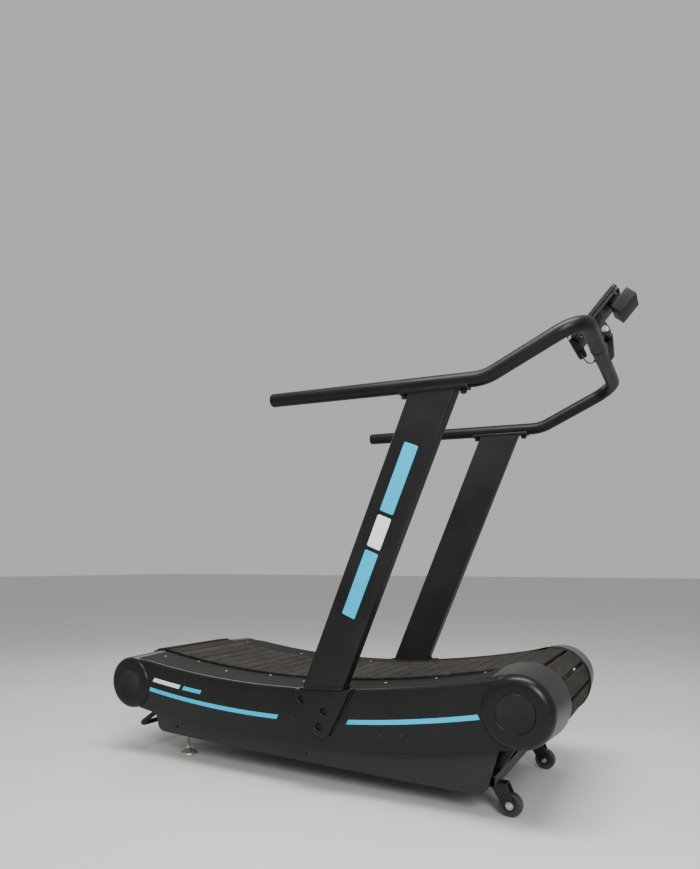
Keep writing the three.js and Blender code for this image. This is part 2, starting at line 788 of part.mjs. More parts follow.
function consoleBezel() {
  const half = screen.halfWidth + gap;
  const [back, low, high] = [panel.front + screen.depth, screen.bottom - gap, screen.top + gap];
  const pocket = box(panel.front - 1, back, -half, half, low, high);
  return onConsole(cut(barX(panelOutline(0), panel.front, panel.split, { curveSegments: 4 }), [pocket]));
}

function consoleDisplay() {
  const { halfWidth, bottom, top, depth } = screen;
  return onConsole(box(panel.front + 0.4, panel.front + depth - gap, -halfWidth, halfWidth, bottom, top));
}

// The rear shell carries the tilt lug and the pad behind the battery box.
function consoleBack() {
  const shell = barX(panelOutline(3), panel.split + gap, panel.back, { curveSegments: 4 });
  const lug = new THREE.Shape();
  lug.moveTo(panel.back - 4, 34);
  lug.lineTo(panel.back - 4, -30);
  lug.lineTo(-8, -12);
  lug.absarc(0, 0, 15, -Math.PI / 2, Math.PI / 2);
  lug.holes.push(new THREE.Path().absarc(0, 0, 6.3, 0, 2 * Math.PI));
  const pad = box(panel.back - 2, -32 - gap, -34, 34, 78, 116);
  return onConsole(joined([shell, plateY(lug, -37, 37, 10), pad]));
}

function batteryBox() {
  return onConsole(barX(roundedRectangle(-53, 64, 53, 138, 4), -32, 10, { curveSegments: 3 }));
}

function consolePod() {
  const shape = outline([
    [-94, -84],
    [-79, panel.bottom - gap],
    [-20, panel.bottom - gap],
    [-15, -88],
    [-24, -108],
    [-34, -108],
  ]);
  return onConsole(plateY(shape, -46, 46));
}

// Signal cable from the pod, hanging in a shallow loop to the rear of the cross bar.
const cablePoints = [
  [854, -20, 1544.8],
  [856.4, -19.9, 1539.8],
  [858.8, -19.8, 1535],
  [861.2, -19.5, 1530.4],
  [863.7, -19.1, 1526.2],
  [866.2, -18.7, 1522.3],
  [868.8, -18.1, 1518.8],
  [871.5, -17.5, 1515.7],
  [874.2, -16.8, 1513.1],
  [876.9, -16.1, 1511],
  [879.7, -15.3, 1509.4],
  [882.6, -14.5, 1508.4],
  [885.6, -13.6, 1508.1],
  [888.6, -12.7, 1508.4],
  [891.6, -11.8, 1509.4],
  [894.8, -10.9, 1511.2],
  [898, -10, 1513.8],
];
const cableRadius = 2;

function consoleCable() {
  const extrudePath = new THREE.CatmullRomCurve3(cablePoints.map((point) => new THREE.Vector3(...point)));
  return new THREE.ExtrudeGeometry(circle(0, 0, cableRadius), { steps: 20, curveSegments: 4, extrudePath });
}

// ---- Wheels, feet and lift handle ----

function wheelFork() {
  const top = crossmember.bottom - gap;
  const [rear, front] = [crossmemberX.front - 18, crossmemberX.front + 42];
  const cheek = new THREE.Shape();
  cheek.moveTo(rear, top);
  cheek.lineTo(wheel.x - 18, wheel.radius - 8);
  cheek.absarc(wheel.x, wheel.radius, 19, 1.2 * Math.PI, 2.1 * Math.PI);
  cheek.lineTo(front, top);
  cheek.holes.push(new THREE.Path().absarc(wheel.x, wheel.radius, 6.3, 0, 2 * Math.PI));
  const half = wheel.width / 2 + 1.5;
  return joined([
    plateY(cheek, -wheel.y - half, -wheel.y - half - forkPlate, 6),
    plateY(cheek, -wheel.y + half, -wheel.y + half + forkPlate, 6),
    box(rear, front, -wheel.y - half - 1, -wheel.y + half + 1, top - 5, top),
  ]);
}

function roadWheel() {
  const half = wheel.width / 2;
  const profile = [
    [6.3, -half - 1],
    [wheel.hub, -half - 1],
    [24, -half + 4],
    [33, -half],
    [wheel.radius, -half + 3],
    [wheel.radius, half - 3],
    [33, half],
    [24, half - 4],
    [wheel.hub, half + 1],
    [6.3, half + 1],
    [6.3, -half - 1],
  ];
  return turnedY(wheel.x, wheel.radius, profile, 20).translate(0, -wheel.y, 0);
}

function wheelBolt() {
  const half = wheel.width / 2 + 1.5 + forkPlate;
  const pin = pinY(0, 0, 6, -half - 4, half + 4, 16);
  const head = pinY(0, 0, 10, -half - 7, -half - gap, 6);
  const nut = pinY(0, 0, 10, half + gap, half + 9, 6);
  return joined([pin, head, nut]).translate(wheel.x, -wheel.y, wheel.radius);
}

function levellingFoot() {
  const { radius, stem } = levelFoot;
  const profile = [
    [0, 0],
    [radius - 1, 0],
    [radius, 3],
    [radius - 1, 8],
    [30, 17],
    [16, 23],
    [10, 25],
    [10, 33],
    [stem, 33],
    [stem, 186],
    [0, 186],
  ];
  return turnedZ(levelFoot.x, -levelFoot.y, profile, 20);
}

function levellingNut() {
  const z = crossmember.bottom - gap;
  const profile = [[7.2, z - 10], [10.5, z - 10], [10.5, z], [7.2, z], [7.2, z - 10]];
  return turnedZ(levelFoot.x, -levelFoot.y, profile, 6);
}

// A bent bar whose two ends plug into the open rear ends of the side rails.
function rearLiftHandle() {
  const { radius, bend } = liftHandle;
  const arm = (y) => [
    { at: new THREE.Vector3(liftHandle.endX, y, liftHandle.armZ) },
    { at: new THREE.Vector3(liftHandle.armX, y, liftHandle.armZ), radius: bend },
    { at: new THREE.Vector3(liftHandle.x, y, liftHandle.z), radius: bend },
  ];
  const corners = [...arm(-liftHandle.y), ...arm(liftHandle.y).reverse()];
  return tubeAlong(roundedStations(corners, 4), radius, 0, 12);
}

// ---- Assembly ----

add('slat_belt', slatBelt(), 'slatRubber');
add('front_drum', drum(frontDrum), 'zincSteel');
add('rear_drum', drum(rearDrum), 'zincSteel');
addPair('bearing_front', flangeBearing(frontDrum), 'zincSteel');
addPair('bearing_rear', flangeBearing(rearDrum), 'zincSteel');
addPair('roller_rail', rollerRail(), 'zincSteel');

addPair('side_plate', plateY(sidePlateShape(), -sidePlate.outer, -sidePlate.inner, 8), 'paintedSteel');
addPair('side_rail', sideRail(), 'paintedSteel');
add('crossmember_front', crossTube(crossmemberX.front, []), 'paintedSteel');
add('crossmember_mid', crossTube(crossmemberX.mid, []), 'paintedSteel');
add('crossmember_rear', crossTube(crossmemberX.rear, stemHoles()), 'paintedSteel');
addPair('upright_bracket', uprightBracket(), 'paintedSteel');
addPair('skirt', skirtPlate(), 'paintedSteel');

addPair('side_cover', sideCover(), 'coverPlastic');
addPair('end_cap_front', endCap(frontDrum, frontHousing), 'coverPlastic');
addPair('end_cap_rear', endCap(rearDrum, rearHousing), 'coverPlastic');
addPair('footrest', footrest(), 'footrestPlastic');
addPair('stripe_rear', sideStripe(...stripe.rear), 'accentVinyl');
addPair('stripe_front', sideStripe(...stripe.front), 'accentVinyl');

addPair('upright', uprightTube(), 'paintedSteel');
addPair('upright_bolts', uprightBolts(), 'zincSteel');
addPair('bar_saddle', barSaddle(), 'paintedSteel');
add('handlebar', handlebar(), 'barGrip');
addPair('bar_plug', barPlug(), 'coverPlastic');

add('console_bracket', consoleBracket(), 'paintedSteel');
add('pivot_bolt', pivotBolt(), 'zincSteel');
add('console_bezel', consoleBezel(), 'consolePlastic');
add('console_display', consoleDisplay(), 'displayGlass');
add('console_back', consoleBack(), 'consolePlastic');
add('battery_box', batteryBox(), 'consolePlastic');
add('console_pod', consolePod(), 'consolePlastic');
add('console_cable', consoleCable(), 'cableRubber');

addPair('wheel_fork', wheelFork(), 'paintedSteel');
addPair('wheel', roadWheel(), 'wheelRubber');
addPair('wheel_bolt', wheelBolt(), 'zincSteel');
addPair('level_foot', levellingFoot(), 'zincSteel');
addPair('level_nut', levellingNut(), 'zincSteel');
add('lift_handle', rearLiftHandle(), 'paintedSteel');

export default treadmill;
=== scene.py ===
"""Looks of the curved manual treadmill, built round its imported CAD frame.

Metres, +X forward, +Y left, +Z up.
"""

import math

import bmesh
import bpy
from mathutils import Matrix, Vector
from mathutils.geometry import tessellate_polygon


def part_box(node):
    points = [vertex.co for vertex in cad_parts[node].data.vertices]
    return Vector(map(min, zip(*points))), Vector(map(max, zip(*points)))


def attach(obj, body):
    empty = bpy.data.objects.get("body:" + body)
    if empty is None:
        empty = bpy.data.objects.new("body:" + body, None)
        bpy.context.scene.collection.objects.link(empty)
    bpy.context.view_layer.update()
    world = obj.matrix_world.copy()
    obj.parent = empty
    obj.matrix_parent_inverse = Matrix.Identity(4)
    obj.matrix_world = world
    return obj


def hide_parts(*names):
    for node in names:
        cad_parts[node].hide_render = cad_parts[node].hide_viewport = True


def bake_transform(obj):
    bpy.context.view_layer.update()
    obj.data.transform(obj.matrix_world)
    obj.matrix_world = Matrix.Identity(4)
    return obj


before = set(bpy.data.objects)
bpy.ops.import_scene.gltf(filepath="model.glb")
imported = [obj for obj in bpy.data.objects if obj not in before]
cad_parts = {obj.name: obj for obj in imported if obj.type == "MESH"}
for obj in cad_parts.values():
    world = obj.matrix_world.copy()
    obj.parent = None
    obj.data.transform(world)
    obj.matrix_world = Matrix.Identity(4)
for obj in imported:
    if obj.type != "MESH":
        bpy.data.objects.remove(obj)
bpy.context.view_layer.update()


def middle(node):
    low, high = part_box(node)
    return (low + high) / 2


# ---- Anchors from the CAD ----

FRONT = middle("front_drum")
REAR = middle("rear_drum")
DRUM_RADIUS = 0.123
RUN_RADIUS = 3.85
PITCH_DEPTH = 0.014
SLAT_COUNT = 62
SLAT_LENGTH = 0.0615
SLAT_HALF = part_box("slat_belt")[1].y
LEAN = math.radians(22.4)
UPRIGHT_BASE = Vector((0.057, 0, 0.395))
PIVOT = middle("pivot_bolt")
TILT = math.radians(41.3)
BAR_RADIUS = 0.024
BAR_Y = 0.405
BAR_END = Vector((-0.164, 0, 1.420))
BAR_BEND = Vector((0.630, 0, 1.391))
BAR_CORNER = Vector((0.921, 0, 1.526))
STRIP_DEPTH = 0.009


def arc_centre():
    reach = RUN_RADIUS + DRUM_RADIUS
    mid = (FRONT + REAR) / 2
    span = (FRONT - REAR).length
    rise = math.sqrt(reach**2 - (span / 2) ** 2)
    return Vector((mid.x - rise * (FRONT.z - REAR.z) / span, 0, mid.z + rise * (FRONT.x - REAR.x) / span))


CENTRE = arc_centre()
FRONT_PHI = math.atan2(FRONT.x - CENTRE.x, CENTRE.z - FRONT.z)
REAR_PHI = math.atan2(REAR.x - CENTRE.x, CENTRE.z - REAR.z)
RUN_FRONT = FRONT_PHI * RUN_RADIUS
RUN_REAR = REAR_PHI * RUN_RADIUS


def on_run(along, depth):
    phi = along / RUN_RADIUS
    radius = RUN_RADIUS + depth
    return Vector((CENTRE.x + radius * math.sin(phi), 0, CENTRE.z - radius * math.cos(phi)))


def added(name, data):
    """A new object in the scene."""
    thing = bpy.data.objects.new(name, data)
    bpy.context.scene.collection.objects.link(thing)
    return thing


# ---- Materials ----

def node_of(tree, kind, **settings):
    node = tree.nodes.new(kind)
    for key, value in settings.items():
        setattr(node, key, value)
    return node


def noise(tree, scale, detail=4.0, roughness=0.6, stretch=(1, 1, 1)):
    coords = node_of(tree, "ShaderNodeTexCoord")
    mapping = node_of(tree, "ShaderNodeMapping")
    mapping.inputs["Scale"].default_value = stretch
    texture = node_of(tree, "ShaderNodeTexNoise")
    texture.inputs["Scale"].default_value = scale
    texture.inputs["Detail"].default_value = detail
    texture.inputs["Roughness"].default_value = roughness
    tree.links.new(coords.outputs["Object"], mapping.inputs["Vector"])
    tree.links.new(mapping.outputs["Vector"], texture.inputs["Vector"])
    return texture.outputs["Fac"]


def ranged(tree, value, low, high, to_low, to_high):
    node = node_of(tree, "ShaderNodeMapRange", clamp=True)
    node.inputs["From Min"].default_value = low
    node.inputs["From Max"].default_value = high
    node.inputs["To Min"].default_value = to_low
    node.inputs["To Max"].default_value = to_high
    tree.links.new(value, node.inputs["Value"])
    return node.outputs["Result"]


def blended(tree, factor, first, second):
    node = node_of(tree, "ShaderNodeMix", data_type="RGBA")
    tree.links.new(factor, node.inputs["Factor"])
    for socket, value in ((node.inputs["A"], first), (node.inputs["B"], second)):
        if isinstance(value, tuple):
            socket.default_value = (*value, 1)
        else:
            tree.links.new(value, socket)
    return node.outputs["Result"]


def times(tree, first, second):
    node = node_of(tree, "ShaderNodeMath", operation="MULTIPLY")
    tree.links.new(first, node.inputs[0])
    tree.links.new(second, node.inputs[1])
    return node.outputs["Value"]


def edge_mask(tree, width):
    """1 on sharp edges, 0 on flats."""
    bevel = node_of(tree, "ShaderNodeBevel", samples=4)
    bevel.inputs["Radius"].default_value = width
    geometry = node_of(tree, "ShaderNodeNewGeometry")
    dot = node_of(tree, "ShaderNodeVectorMath", operation="DOT_PRODUCT")
    tree.links.new(bevel.outputs["Normal"], dot.inputs[0])
    tree.links.new(geometry.outputs["Normal"], dot.inputs[1])
    return ranged(tree, dot.outputs["Value"], 0.99, 0.85, 0, 1)


def grey(value):
    return (value, value, value)


WEAR_WIDTH = 0.0012


def finish(name, dark, light, rough, metal=0.0, grain=900, bump=0.15, cloud=6, wear=None, soften=0.0,
           coat=0.0, specular=0.5):
    """A coat of colour between dark and light, with clouds, fine grain in bump and gloss, and worn edges."""
    material = bpy.data.materials.new(name)
    material.use_nodes = True
    tree = material.node_tree
    shader = tree.nodes["Principled BSDF"]
    shader.inputs["Metallic"].default_value = metal
    shader.inputs["Coat Weight"].default_value = coat
    shader.inputs["Coat Roughness"].default_value = 0.25
    shader.inputs["Specular IOR Level"].default_value = specular
    clouds = noise(tree, cloud, 5.0, 0.65)
    fine = noise(tree, grain, 3.0, 0.6)
    colour = blended(tree, ranged(tree, clouds, 0.35, 0.68, 0, 1), dark, light)
    if wear:
        patchy = ranged(tree, noise(tree, 45, 4.0), 0.42, 0.66, 0, 1)
        colour = blended(tree, times(tree, edge_mask(tree, WEAR_WIDTH), patchy), colour, wear)
    tree.links.new(colour, shader.inputs["Base Color"])
    gloss = node_of(tree, "ShaderNodeMath", operation="ADD")
    tree.links.new(ranged(tree, clouds, 0.3, 0.7, rough - 0.06, rough + 0.06), gloss.inputs[0])
    tree.links.new(ranged(tree, fine, 0.3, 0.7, -0.05, 0.05), gloss.inputs[1])
    tree.links.new(gloss.outputs["Value"], shader.inputs["Roughness"])
    relief = node_of(tree, "ShaderNodeBump")
    relief.inputs["Strength"].default_value = bump
    relief.inputs["Distance"].default_value = 0.0006
    tree.links.new(fine, relief.inputs["Height"])
    if soften:
        round_edges = node_of(tree, "ShaderNodeBevel", samples=6)
        round_edges.inputs["Radius"].default_value = soften
        tree.links.new(round_edges.outputs["Normal"], relief.inputs["Normal"])
    tree.links.new(relief.outputs["Normal"], shader.inputs["Normal"])
    return material


def dusty_rubber():
    """Slats: grey-brown rubber, each slat a little different, with dust along the lateral ribs and scuffs.
    The colour is multiplied by a per-vertex attribute that holds each slat's own tone and painted shade,
    darker in the rib grooves and along the slat sides and underside.
    """
    material = finish("slat_rubber", (0.023, 0.021, 0.0185), (0.044, 0.041, 0.037), 0.74,
                      grain=1400, bump=0.3, cloud=9, specular=0.15)
    tree = material.node_tree
    shader = tree.nodes["Principled BSDF"]
    under = shader.inputs["Base Color"].links[0].from_socket
    # Per-vertex colour: the slat's own random tone times painted shade in the rib grooves and on the slat
    # edges.
    tone_and_groove_shade = node_of(tree, "ShaderNodeAttribute", attribute_name="tone_and_groove_shade")
    streaks = noise(tree, 40, 5.0, 0.7, (1, 0.5, 1))
    dust = ranged(tree, streaks, 0.42, 0.75, 0, 0.75)
    dust = times(tree, dust, ranged(tree, noise(tree, 4), 0.3, 0.65, 0.3, 1))
    colour = blended(tree, dust, under, (0.080, 0.075, 0.068))
    shade = node_of(tree, "ShaderNodeMix", data_type="RGBA", blend_type="MULTIPLY")
    shade.inputs["Factor"].default_value = 1
    tree.links.new(colour, shade.inputs["A"])
    tree.links.new(tone_and_groove_shade.outputs["Color"], shade.inputs["B"])
    tree.links.new(shade.outputs["Result"], shader.inputs["Base Color"])
    return material


def speckled_plastic():
    """Footrests: dark grained plastic with pale specks."""
    material = finish("footrest_plastic", (0.0085, 0.0085, 0.0083), (0.0155, 0.0155, 0.0150), 0.66,
                      grain=420, bump=0.8, cloud=7, specular=0.08)
    tree = material.node_tree
    shader = tree.nodes["Principled BSDF"]
    under = shader.inputs["Base Color"].links[0].from_socket
    specks = ranged(tree, noise(tree, 520, 2.0, 0.5), 0.60, 0.70, 0, 0.8)
    tree.links.new(blended(tree, specks, under, (0.065, 0.065, 0.063)), shader.inputs["Base Color"])
    return material


MATERIALS = {
    "slat_rubber": dusty_rubber(),
    "footrest_plastic": speckled_plastic(),
}
MATERIAL_ROWS = {
    "carrier_rubber": (
        grey(0.012), (0.025, 0.024, 0.023), 0.7,
        dict(grain=700, bump=0.4)),
    "cover_plastic": (
        grey(0.0062), (0.0100, 0.0100, 0.0101), 0.31,
        dict(grain=1500, bump=0.04, cloud=3, wear=grey(0.04), soften=0.004, specular=0.22)),
    "cap_plastic": (
        grey(0.006), grey(0.01), 0.40,
        dict(grain=1500, bump=0.05, wear=grey(0.05), specular=0.28)),
    "painted_steel": (
        grey(0.005), grey(0.009), 0.38,
        dict(grain=1100, bump=0.07, cloud=4, wear=grey(0.05), specular=0.28)),
    "upright_paint": (
        (0.0085, 0.0085, 0.0086), (0.0135, 0.0135, 0.0136), 0.44,
        dict(grain=1100, bump=0.06, cloud=5, wear=grey(0.05), specular=0.20)),
    "skirt_paint": (
        (0.0120, 0.0120, 0.0122), (0.0180, 0.0180, 0.0183), 0.42,
        dict(grain=1100, bump=0.06, cloud=5, wear=grey(0.06), specular=0.30)),
    "bar_paint": (
        grey(0.0035), grey(0.006), 0.42,
        dict(grain=700, bump=0.01, cloud=9, specular=0.26)),
    "zinc_steel": (
        (0.36, 0.35, 0.32), (0.62, 0.61, 0.58), 0.33,
        dict(metal=1.0, grain=600, bump=0.25, cloud=40, wear=(0.75, 0.74, 0.72))),
    "dull_zinc": (
        (0.40, 0.385, 0.345), (0.62, 0.60, 0.55), 0.42,
        dict(metal=0.8, grain=500, bump=0.25, cloud=50, wear=(0.72, 0.70, 0.66))),
    "accent_cyan": (
        (0.001, 0.44, 0.70), (0.002, 0.48, 0.76), 0.45,
        dict(grain=1200, bump=0.04, cloud=10, specular=0.15)),
    "accent_white": (
        (0.80, 0.80, 0.79), (0.88, 0.88, 0.87), 0.45,
        dict(grain=1200, bump=0.04, cloud=10, specular=0.2)),
    "console_plastic": (
        grey(0.006), grey(0.01), 0.38,
        dict(grain=1500, bump=0.06, wear=grey(0.06), specular=0.3)),
    "battery_plastic": (
        grey(0.0075), grey(0.013), 0.44,
        dict(grain=900, bump=0.2, wear=grey(0.06), specular=0.22)),
    "display_glass": (
        (0.004, 0.005, 0.006), (0.007, 0.008, 0.010), 0.10,
        dict(grain=300, bump=0.01, coat=0.6)),
    "key_print": (
        (0.30, 0.31, 0.32), (0.36, 0.37, 0.38), 0.5,
        dict(grain=900, bump=0.05)),
    "wheel_rubber": (
        grey(0.018), (0.042, 0.041, 0.040), 0.50,
        dict(grain=800, bump=0.4, cloud=30, wear=(0.14, 0.135, 0.13))),
    "cable_rubber": (
        (0.010, 0.010, 0.011), grey(0.02), 0.5,
        dict(grain=1500, bump=0.3, cloud=60)),
    "pod_plastic": (
        grey(0.004), grey(0.008), 0.55,
        dict(grain=900, bump=0.1, specular=0.06)),
}
for name, (dark, light, rough, settings) in MATERIAL_ROWS.items():
    MATERIALS[name] = finish(name, dark, light, rough, **settings)


# ---- Mesh building ----


def made(name, mesh, body, material, replaces=(), angle=32):
    mesh.materials.clear()
    mesh.materials.append(MATERIALS[material])
    for face in mesh.polygons:
        face.use_smooth = True
    mesh.set_sharp_from_angle(angle=math.radians(angle))
    piece = added(name, mesh)
    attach(piece, body)
    if replaces:
        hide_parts(*replaces)
    return piece


def mirrored(mesh):
    other = mesh.copy()
    other.transform(Matrix.Diagonal((1, -1, 1, 1)))
    other.flip_normals()
    return other


def pair(name, mesh, bodies, material, replaces=(), angle=32):
    """The piece on the user's right, and its mirror image on the left."""
    right_body, left_body = bodies if isinstance(bodies, tuple) else (bodies, bodies)
    other = mirrored(mesh)
    made(f"{name}_right", mesh, right_body, material, [f"{n}_right" for n in replaces], angle)
    made(f"{name}_left", other, left_body, material, [f"{n}_left" for n in replaces], angle)


def cleaned(mesh):
    """The mesh with its doubled points joined and its faces all turned outward."""
    work = bmesh.new()
    work.from_mesh(mesh)
    bmesh.ops.remove_doubles(work, verts=work.verts, dist=1e-6)
    bmesh.ops.recalc_face_normals(work, faces=work.faces)
    work.to_mesh(mesh)
    work.free()
    return mesh


def mesh_of(points, faces):
    mesh = bpy.data.meshes.new("mesh")
    mesh.from_pydata([tuple(p) for p in points], [], faces)
    return cleaned(mesh)


def merged(meshes):
    points, faces = [], []
    for mesh in meshes:
        start = len(points)
        points += [v.co.copy() for v in mesh.vertices]
        faces += [[start + i for i in face.vertices] for face in mesh.polygons]
    mesh = bpy.data.meshes.new("mesh")
    mesh.from_pydata(points, [], faces)
    return mesh


def loft(rings, looped=False):
    """A skin over closed rings of the same number of points."""
    count = len(rings[0])
    points = [p for ring in rings for p in ring]
    faces = []
    spans = len(rings) if looped else len(rings) - 1
    for i in range(spans):
        a, b = i * count, ((i + 1) % len(rings)) * count
        for j in range(count):
            k = (j + 1) % count
            faces.append((a + j, a + k, b + k, b + j))
    if not looped:
        last = (len(rings) - 1) * count
        for start, ring in ((0, rings[0]), (last, rings[-1])):
            for triangle in tessellate_polygon([[Vector(p) for p in ring]]):
                faces.append(tuple(start + i for i in triangle))
    return mesh_of(points, faces)


def lathe(profile, centre, axis="Y", sides=96):
    """A profile of (radius, place along the axis) turned about an axis through centre."""
    rings = []
    for radius, along in profile:
        ring = []
        for i in range(sides):
            angle = 2 * math.pi * i / sides
            a, b = max(radius, 1e-5) * math.cos(angle), max(radius, 1e-5) * math.sin(angle)
            if axis == "Y":
                ring.append(Vector((centre[0] + a, along, centre[2] + b)))
            else:
                ring.append(Vector((centre[0] + a, centre[1] + b, along)))
        rings.append(ring)
    return loft(rings)


def arc(centre, radius, start, end, steps):
    """Points (a, b) on a circle, angles in degrees."""
    points = []
    for i in range(steps + 1):
        angle = math.radians(start + (end - start) * i / steps)
        points.append((centre[0] + radius * math.cos(angle), centre[1] + radius * math.sin(angle)))
    return points


def rounded(corners, radius, steps=5):
    """A closed outline of corners (a, b) or (a, b, radius), each rounded."""
    points = []
    count = len(corners)
    for i, corner in enumerate(corners):
        here = Vector(corner[:2])
        before = Vector(corners[i - 1][:2]) - here
        after = Vector(corners[(i + 1) % count][:2]) - here
        size = corner[2] if len(corner) > 2 else radius
        angle = before.angle(after)
        if size < 1e-5 or angle > math.radians(176):
            points.append(tuple(here))
            continue
        reach = min(size / math.tan(angle / 2), before.length * 0.49, after.length * 0.49)
        start = here + before.normalized() * reach
        end = here + after.normalized() * reach
        for step in range(steps + 1):
            t = step / steps
            curve = start * (1 - t) ** 2 + here * 2 * t * (1 - t) + end * t**2
            points.append(tuple(curve))
    return points


def rounded_box(a0, b0, a1, b1, radius, steps=5):
    return rounded([(a0, b0), (a1, b0), (a1, b1), (a0, b1)], radius, steps)


def rod(radius, low, high):
    """Lathe profile of a plain cylinder."""
    return [(0, low), (radius, low), (radius, high), (0, high)]


def plate(outline, y0, y1, holes=(), bevel=0.0008):
    """An outline in X and Z with holes (x, z, radius), thick along Y, with rounded edges."""
    curve = bpy.data.curves.new("curve", "CURVE")
    curve.dimensions = "2D"
    curve.fill_mode = "BOTH"
    curve.extrude = abs(y1 - y0) / 2 - bevel
    curve.bevel_depth = bevel
    curve.bevel_resolution = 2
    curve.offset = -bevel
    loops = [outline] + [arc((x, z), radius, 0, 345, 23) for x, z, radius in holes]
    for loop in loops:
        spline = curve.splines.new("POLY")
        spline.points.add(len(loop) - 1)
        for point, (a, b) in zip(spline.points, loop):
            point.co = (a, b, 0, 1)
        spline.use_cyclic_u = True
    holder = added("holder", curve)
    mesh = bpy.data.meshes.new_from_object(holder.evaluated_get(bpy.context.evaluated_depsgraph_get()))
    bpy.data.objects.remove(holder)
    mesh.transform(Matrix.Translation((0, (y0 + y1) / 2, 0)) @ Matrix.Rotation(math.pi / 2, 4, "X"))
    return cleaned(mesh)


def block(low, high, bevel=0.0015, segments=3):
    work = bmesh.new()
    bmesh.ops.create_cube(work, size=1)
    size = Vector(high) - Vector(low)
    for v in work.verts:
        x, y, z = v.co
        v.co = Vector(low) + Vector(((x + 0.5) * size.x, (y + 0.5) * size.y, (z + 0.5) * size.z))
    bmesh.ops.bevel(work, geom=work.edges[:], offset=bevel, segments=segments, affect="EDGES", profile=0.5)
    mesh = bpy.data.meshes.new("mesh")
    work.to_mesh(mesh)
    work.free()
    return mesh


def combined(mesh, tools, operation):
    """A boolean with each tool mesh in turn."""
    holder = added("holder", mesh)
    extras = []
    for tool in tools:
        other = added("tool", tool)
        modifier = holder.modifiers.new("boolean", "BOOLEAN")
        modifier.operation = operation
        modifier.solver = "EXACT"
        modifier.object = other
        extras.append(other)
    bpy.context.view_layer.update()
    result = bpy.data.meshes.new_from_object(holder.evaluated_get(bpy.context.evaluated_depsgraph_get()))
    for other in [holder] + extras:
        bpy.data.objects.remove(other)
    return result


def moved(mesh, matrix):
    mesh.transform(matrix)
    return mesh


HEX_CHAMFER = 0.0012
HEX_TURN = 0.2


def hex_head(centre, radius, y0, y1):
    """A hexagon head with a chamfered top at y1."""
    inward = math.copysign(HEX_CHAMFER, y1 - y0)
    rings = []
    for size, y in ((radius, y0), (radius, y1 - inward), (radius - HEX_CHAMFER * 1.3, y1)):
        angles = [math.pi * i / 3 + HEX_TURN for i in range(6)]
        rings.append([Vector((centre[0] + size * math.cos(a), y, centre[2] + size * math.sin(a)))
                      for a in angles])
    return loft(rings)


def socket_screw(centre, radius, y0, y1):
    """A cap screw head with a socket, its face at y1."""
    step = math.copysign(1, y1 - y0)
    return lathe([(0, y0), (radius, y0), (radius, y1 - step * 0.001), (radius - 0.001, y1),
                  (radius * 0.55, y1), (radius * 0.5, y1 - step * 0.001), (radius * 0.5, y1 - step * 0.004),
                  (0, y1 - step * 0.004)], centre, sides=24)


def path_frames(points):
    """Tangent and two normals that don't twist, at each point of a path."""
    frames = []
    normal = None
    for i, point in enumerate(points):
        ahead = points[min(i + 1, len(points) - 1)]
        behind = points[max(i - 1, 0)]
        tangent = (ahead - behind).normalized()
        if normal is None:
            normal = tangent.orthogonal().normalized()
        normal = (normal - tangent * normal.dot(tangent)).normalized()
        frames.append((point, normal, tangent.cross(normal)))
    return frames


def tube(points, radius, sides=32, inner=None):
    """A round tube along a path, solid unless it has an inner radius."""
    def rings(size):
        angles = [2 * math.pi * i / sides for i in range(sides)]
        return [[point + (n * math.cos(a) + b * math.sin(a)) * size for a in angles]
                for point, n, b in path_frames(points)]

    if inner is None:
        return loft(rings(radius))
    return loft(rings(radius) + rings(inner)[::-1], looped=True)


def bent_path(corners, steps):
    """Straight legs through corners (point, radius), each corner rounded to an arc."""
    points = [corners[0][0]]
    for i in range(1, len(corners) - 1):
        at, radius = corners[i]
        before = (at - corners[i - 1][0]).normalized()
        after = (corners[i + 1][0] - at).normalized()
        turn = before.angle(after)
        side = (after - before * after.dot(before)).normalized()
        start = at - before * radius * math.tan(turn / 2)
        centre = start + side * radius
        for step in range(steps + 1):
            a = turn * step / steps
            points.append(centre - side * radius * math.cos(a) + before * radius * math.sin(a))
    points.append(corners[-1][0])
    return points


# ---- Camera, light and floor ----

camera = added("camera", bpy.data.cameras.new("camera"))
camera.location = (1.191, -2.298, 0.814)
camera.rotation_euler = (math.radians(90), 0, math.radians(28.51))
camera.data.lens = 25.92
camera.data.sensor_width = 36
camera.data.shift_x = -0.002
camera.data.shift_y = 0.150
camera.data.clip_start = 0.05
bpy.context.scene.camera = camera

# The signal cable repeats the CAD's route, then is drawn as a smooth tube along it.
CABLE_ROUTE = [
    (0.854, -0.02, 1.5448), (0.8564, -0.0199, 1.5398), (0.8588, -0.0198, 1.535),
    (0.8612, -0.0195, 1.5304), (0.8637, -0.0191, 1.5262), (0.8662, -0.0187, 1.5223),
    (0.8688, -0.0181, 1.5188), (0.8715, -0.0175, 1.5157), (0.8742, -0.0168, 1.5131),
    (0.8769, -0.0161, 1.511), (0.8797, -0.0153, 1.5094), (0.8826, -0.0145, 1.5084),
    (0.8856, -0.0136, 1.5081), (0.8886, -0.0127, 1.5084), (0.8916, -0.0118, 1.5094),
    (0.8948, -0.0109, 1.5112), (0.898, -0.01, 1.5138),
]
CABLE_RADIUS = 0.002


def smooth_path(route, steps):
    """Catmull-Rom curve through the route."""
    points = [Vector(p) for p in route]
    curve = []
    for i in range(len(points) - 1):
        p0, p1, p2 = points[max(i - 1, 0)], points[i], points[i + 1]
        p3 = points[min(i + 2, len(points) - 1)]
        for step in range(steps):
            t = step / steps
            curve.append(0.5 * (2 * p1 + (p2 - p0) * t + (2 * p0 - 5 * p1 + 4 * p2 - p3) * t**2
                                + (3 * p1 - p0 - 3 * p2 + p3) * t**3))
    curve.append(points[-1])
    return curve


cable_line = smooth_path(CABLE_ROUTE, 4)
cable_mesh = tube(cable_line, CABLE_RADIUS, 16)
cable_mesh.materials.append(MATERIALS["cable_rubber"])
for polygon in cable_mesh.polygons:
    polygon.use_smooth = True
cable = added("signal_cable", cable_mesh)
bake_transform(cable)
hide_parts("console_cable")


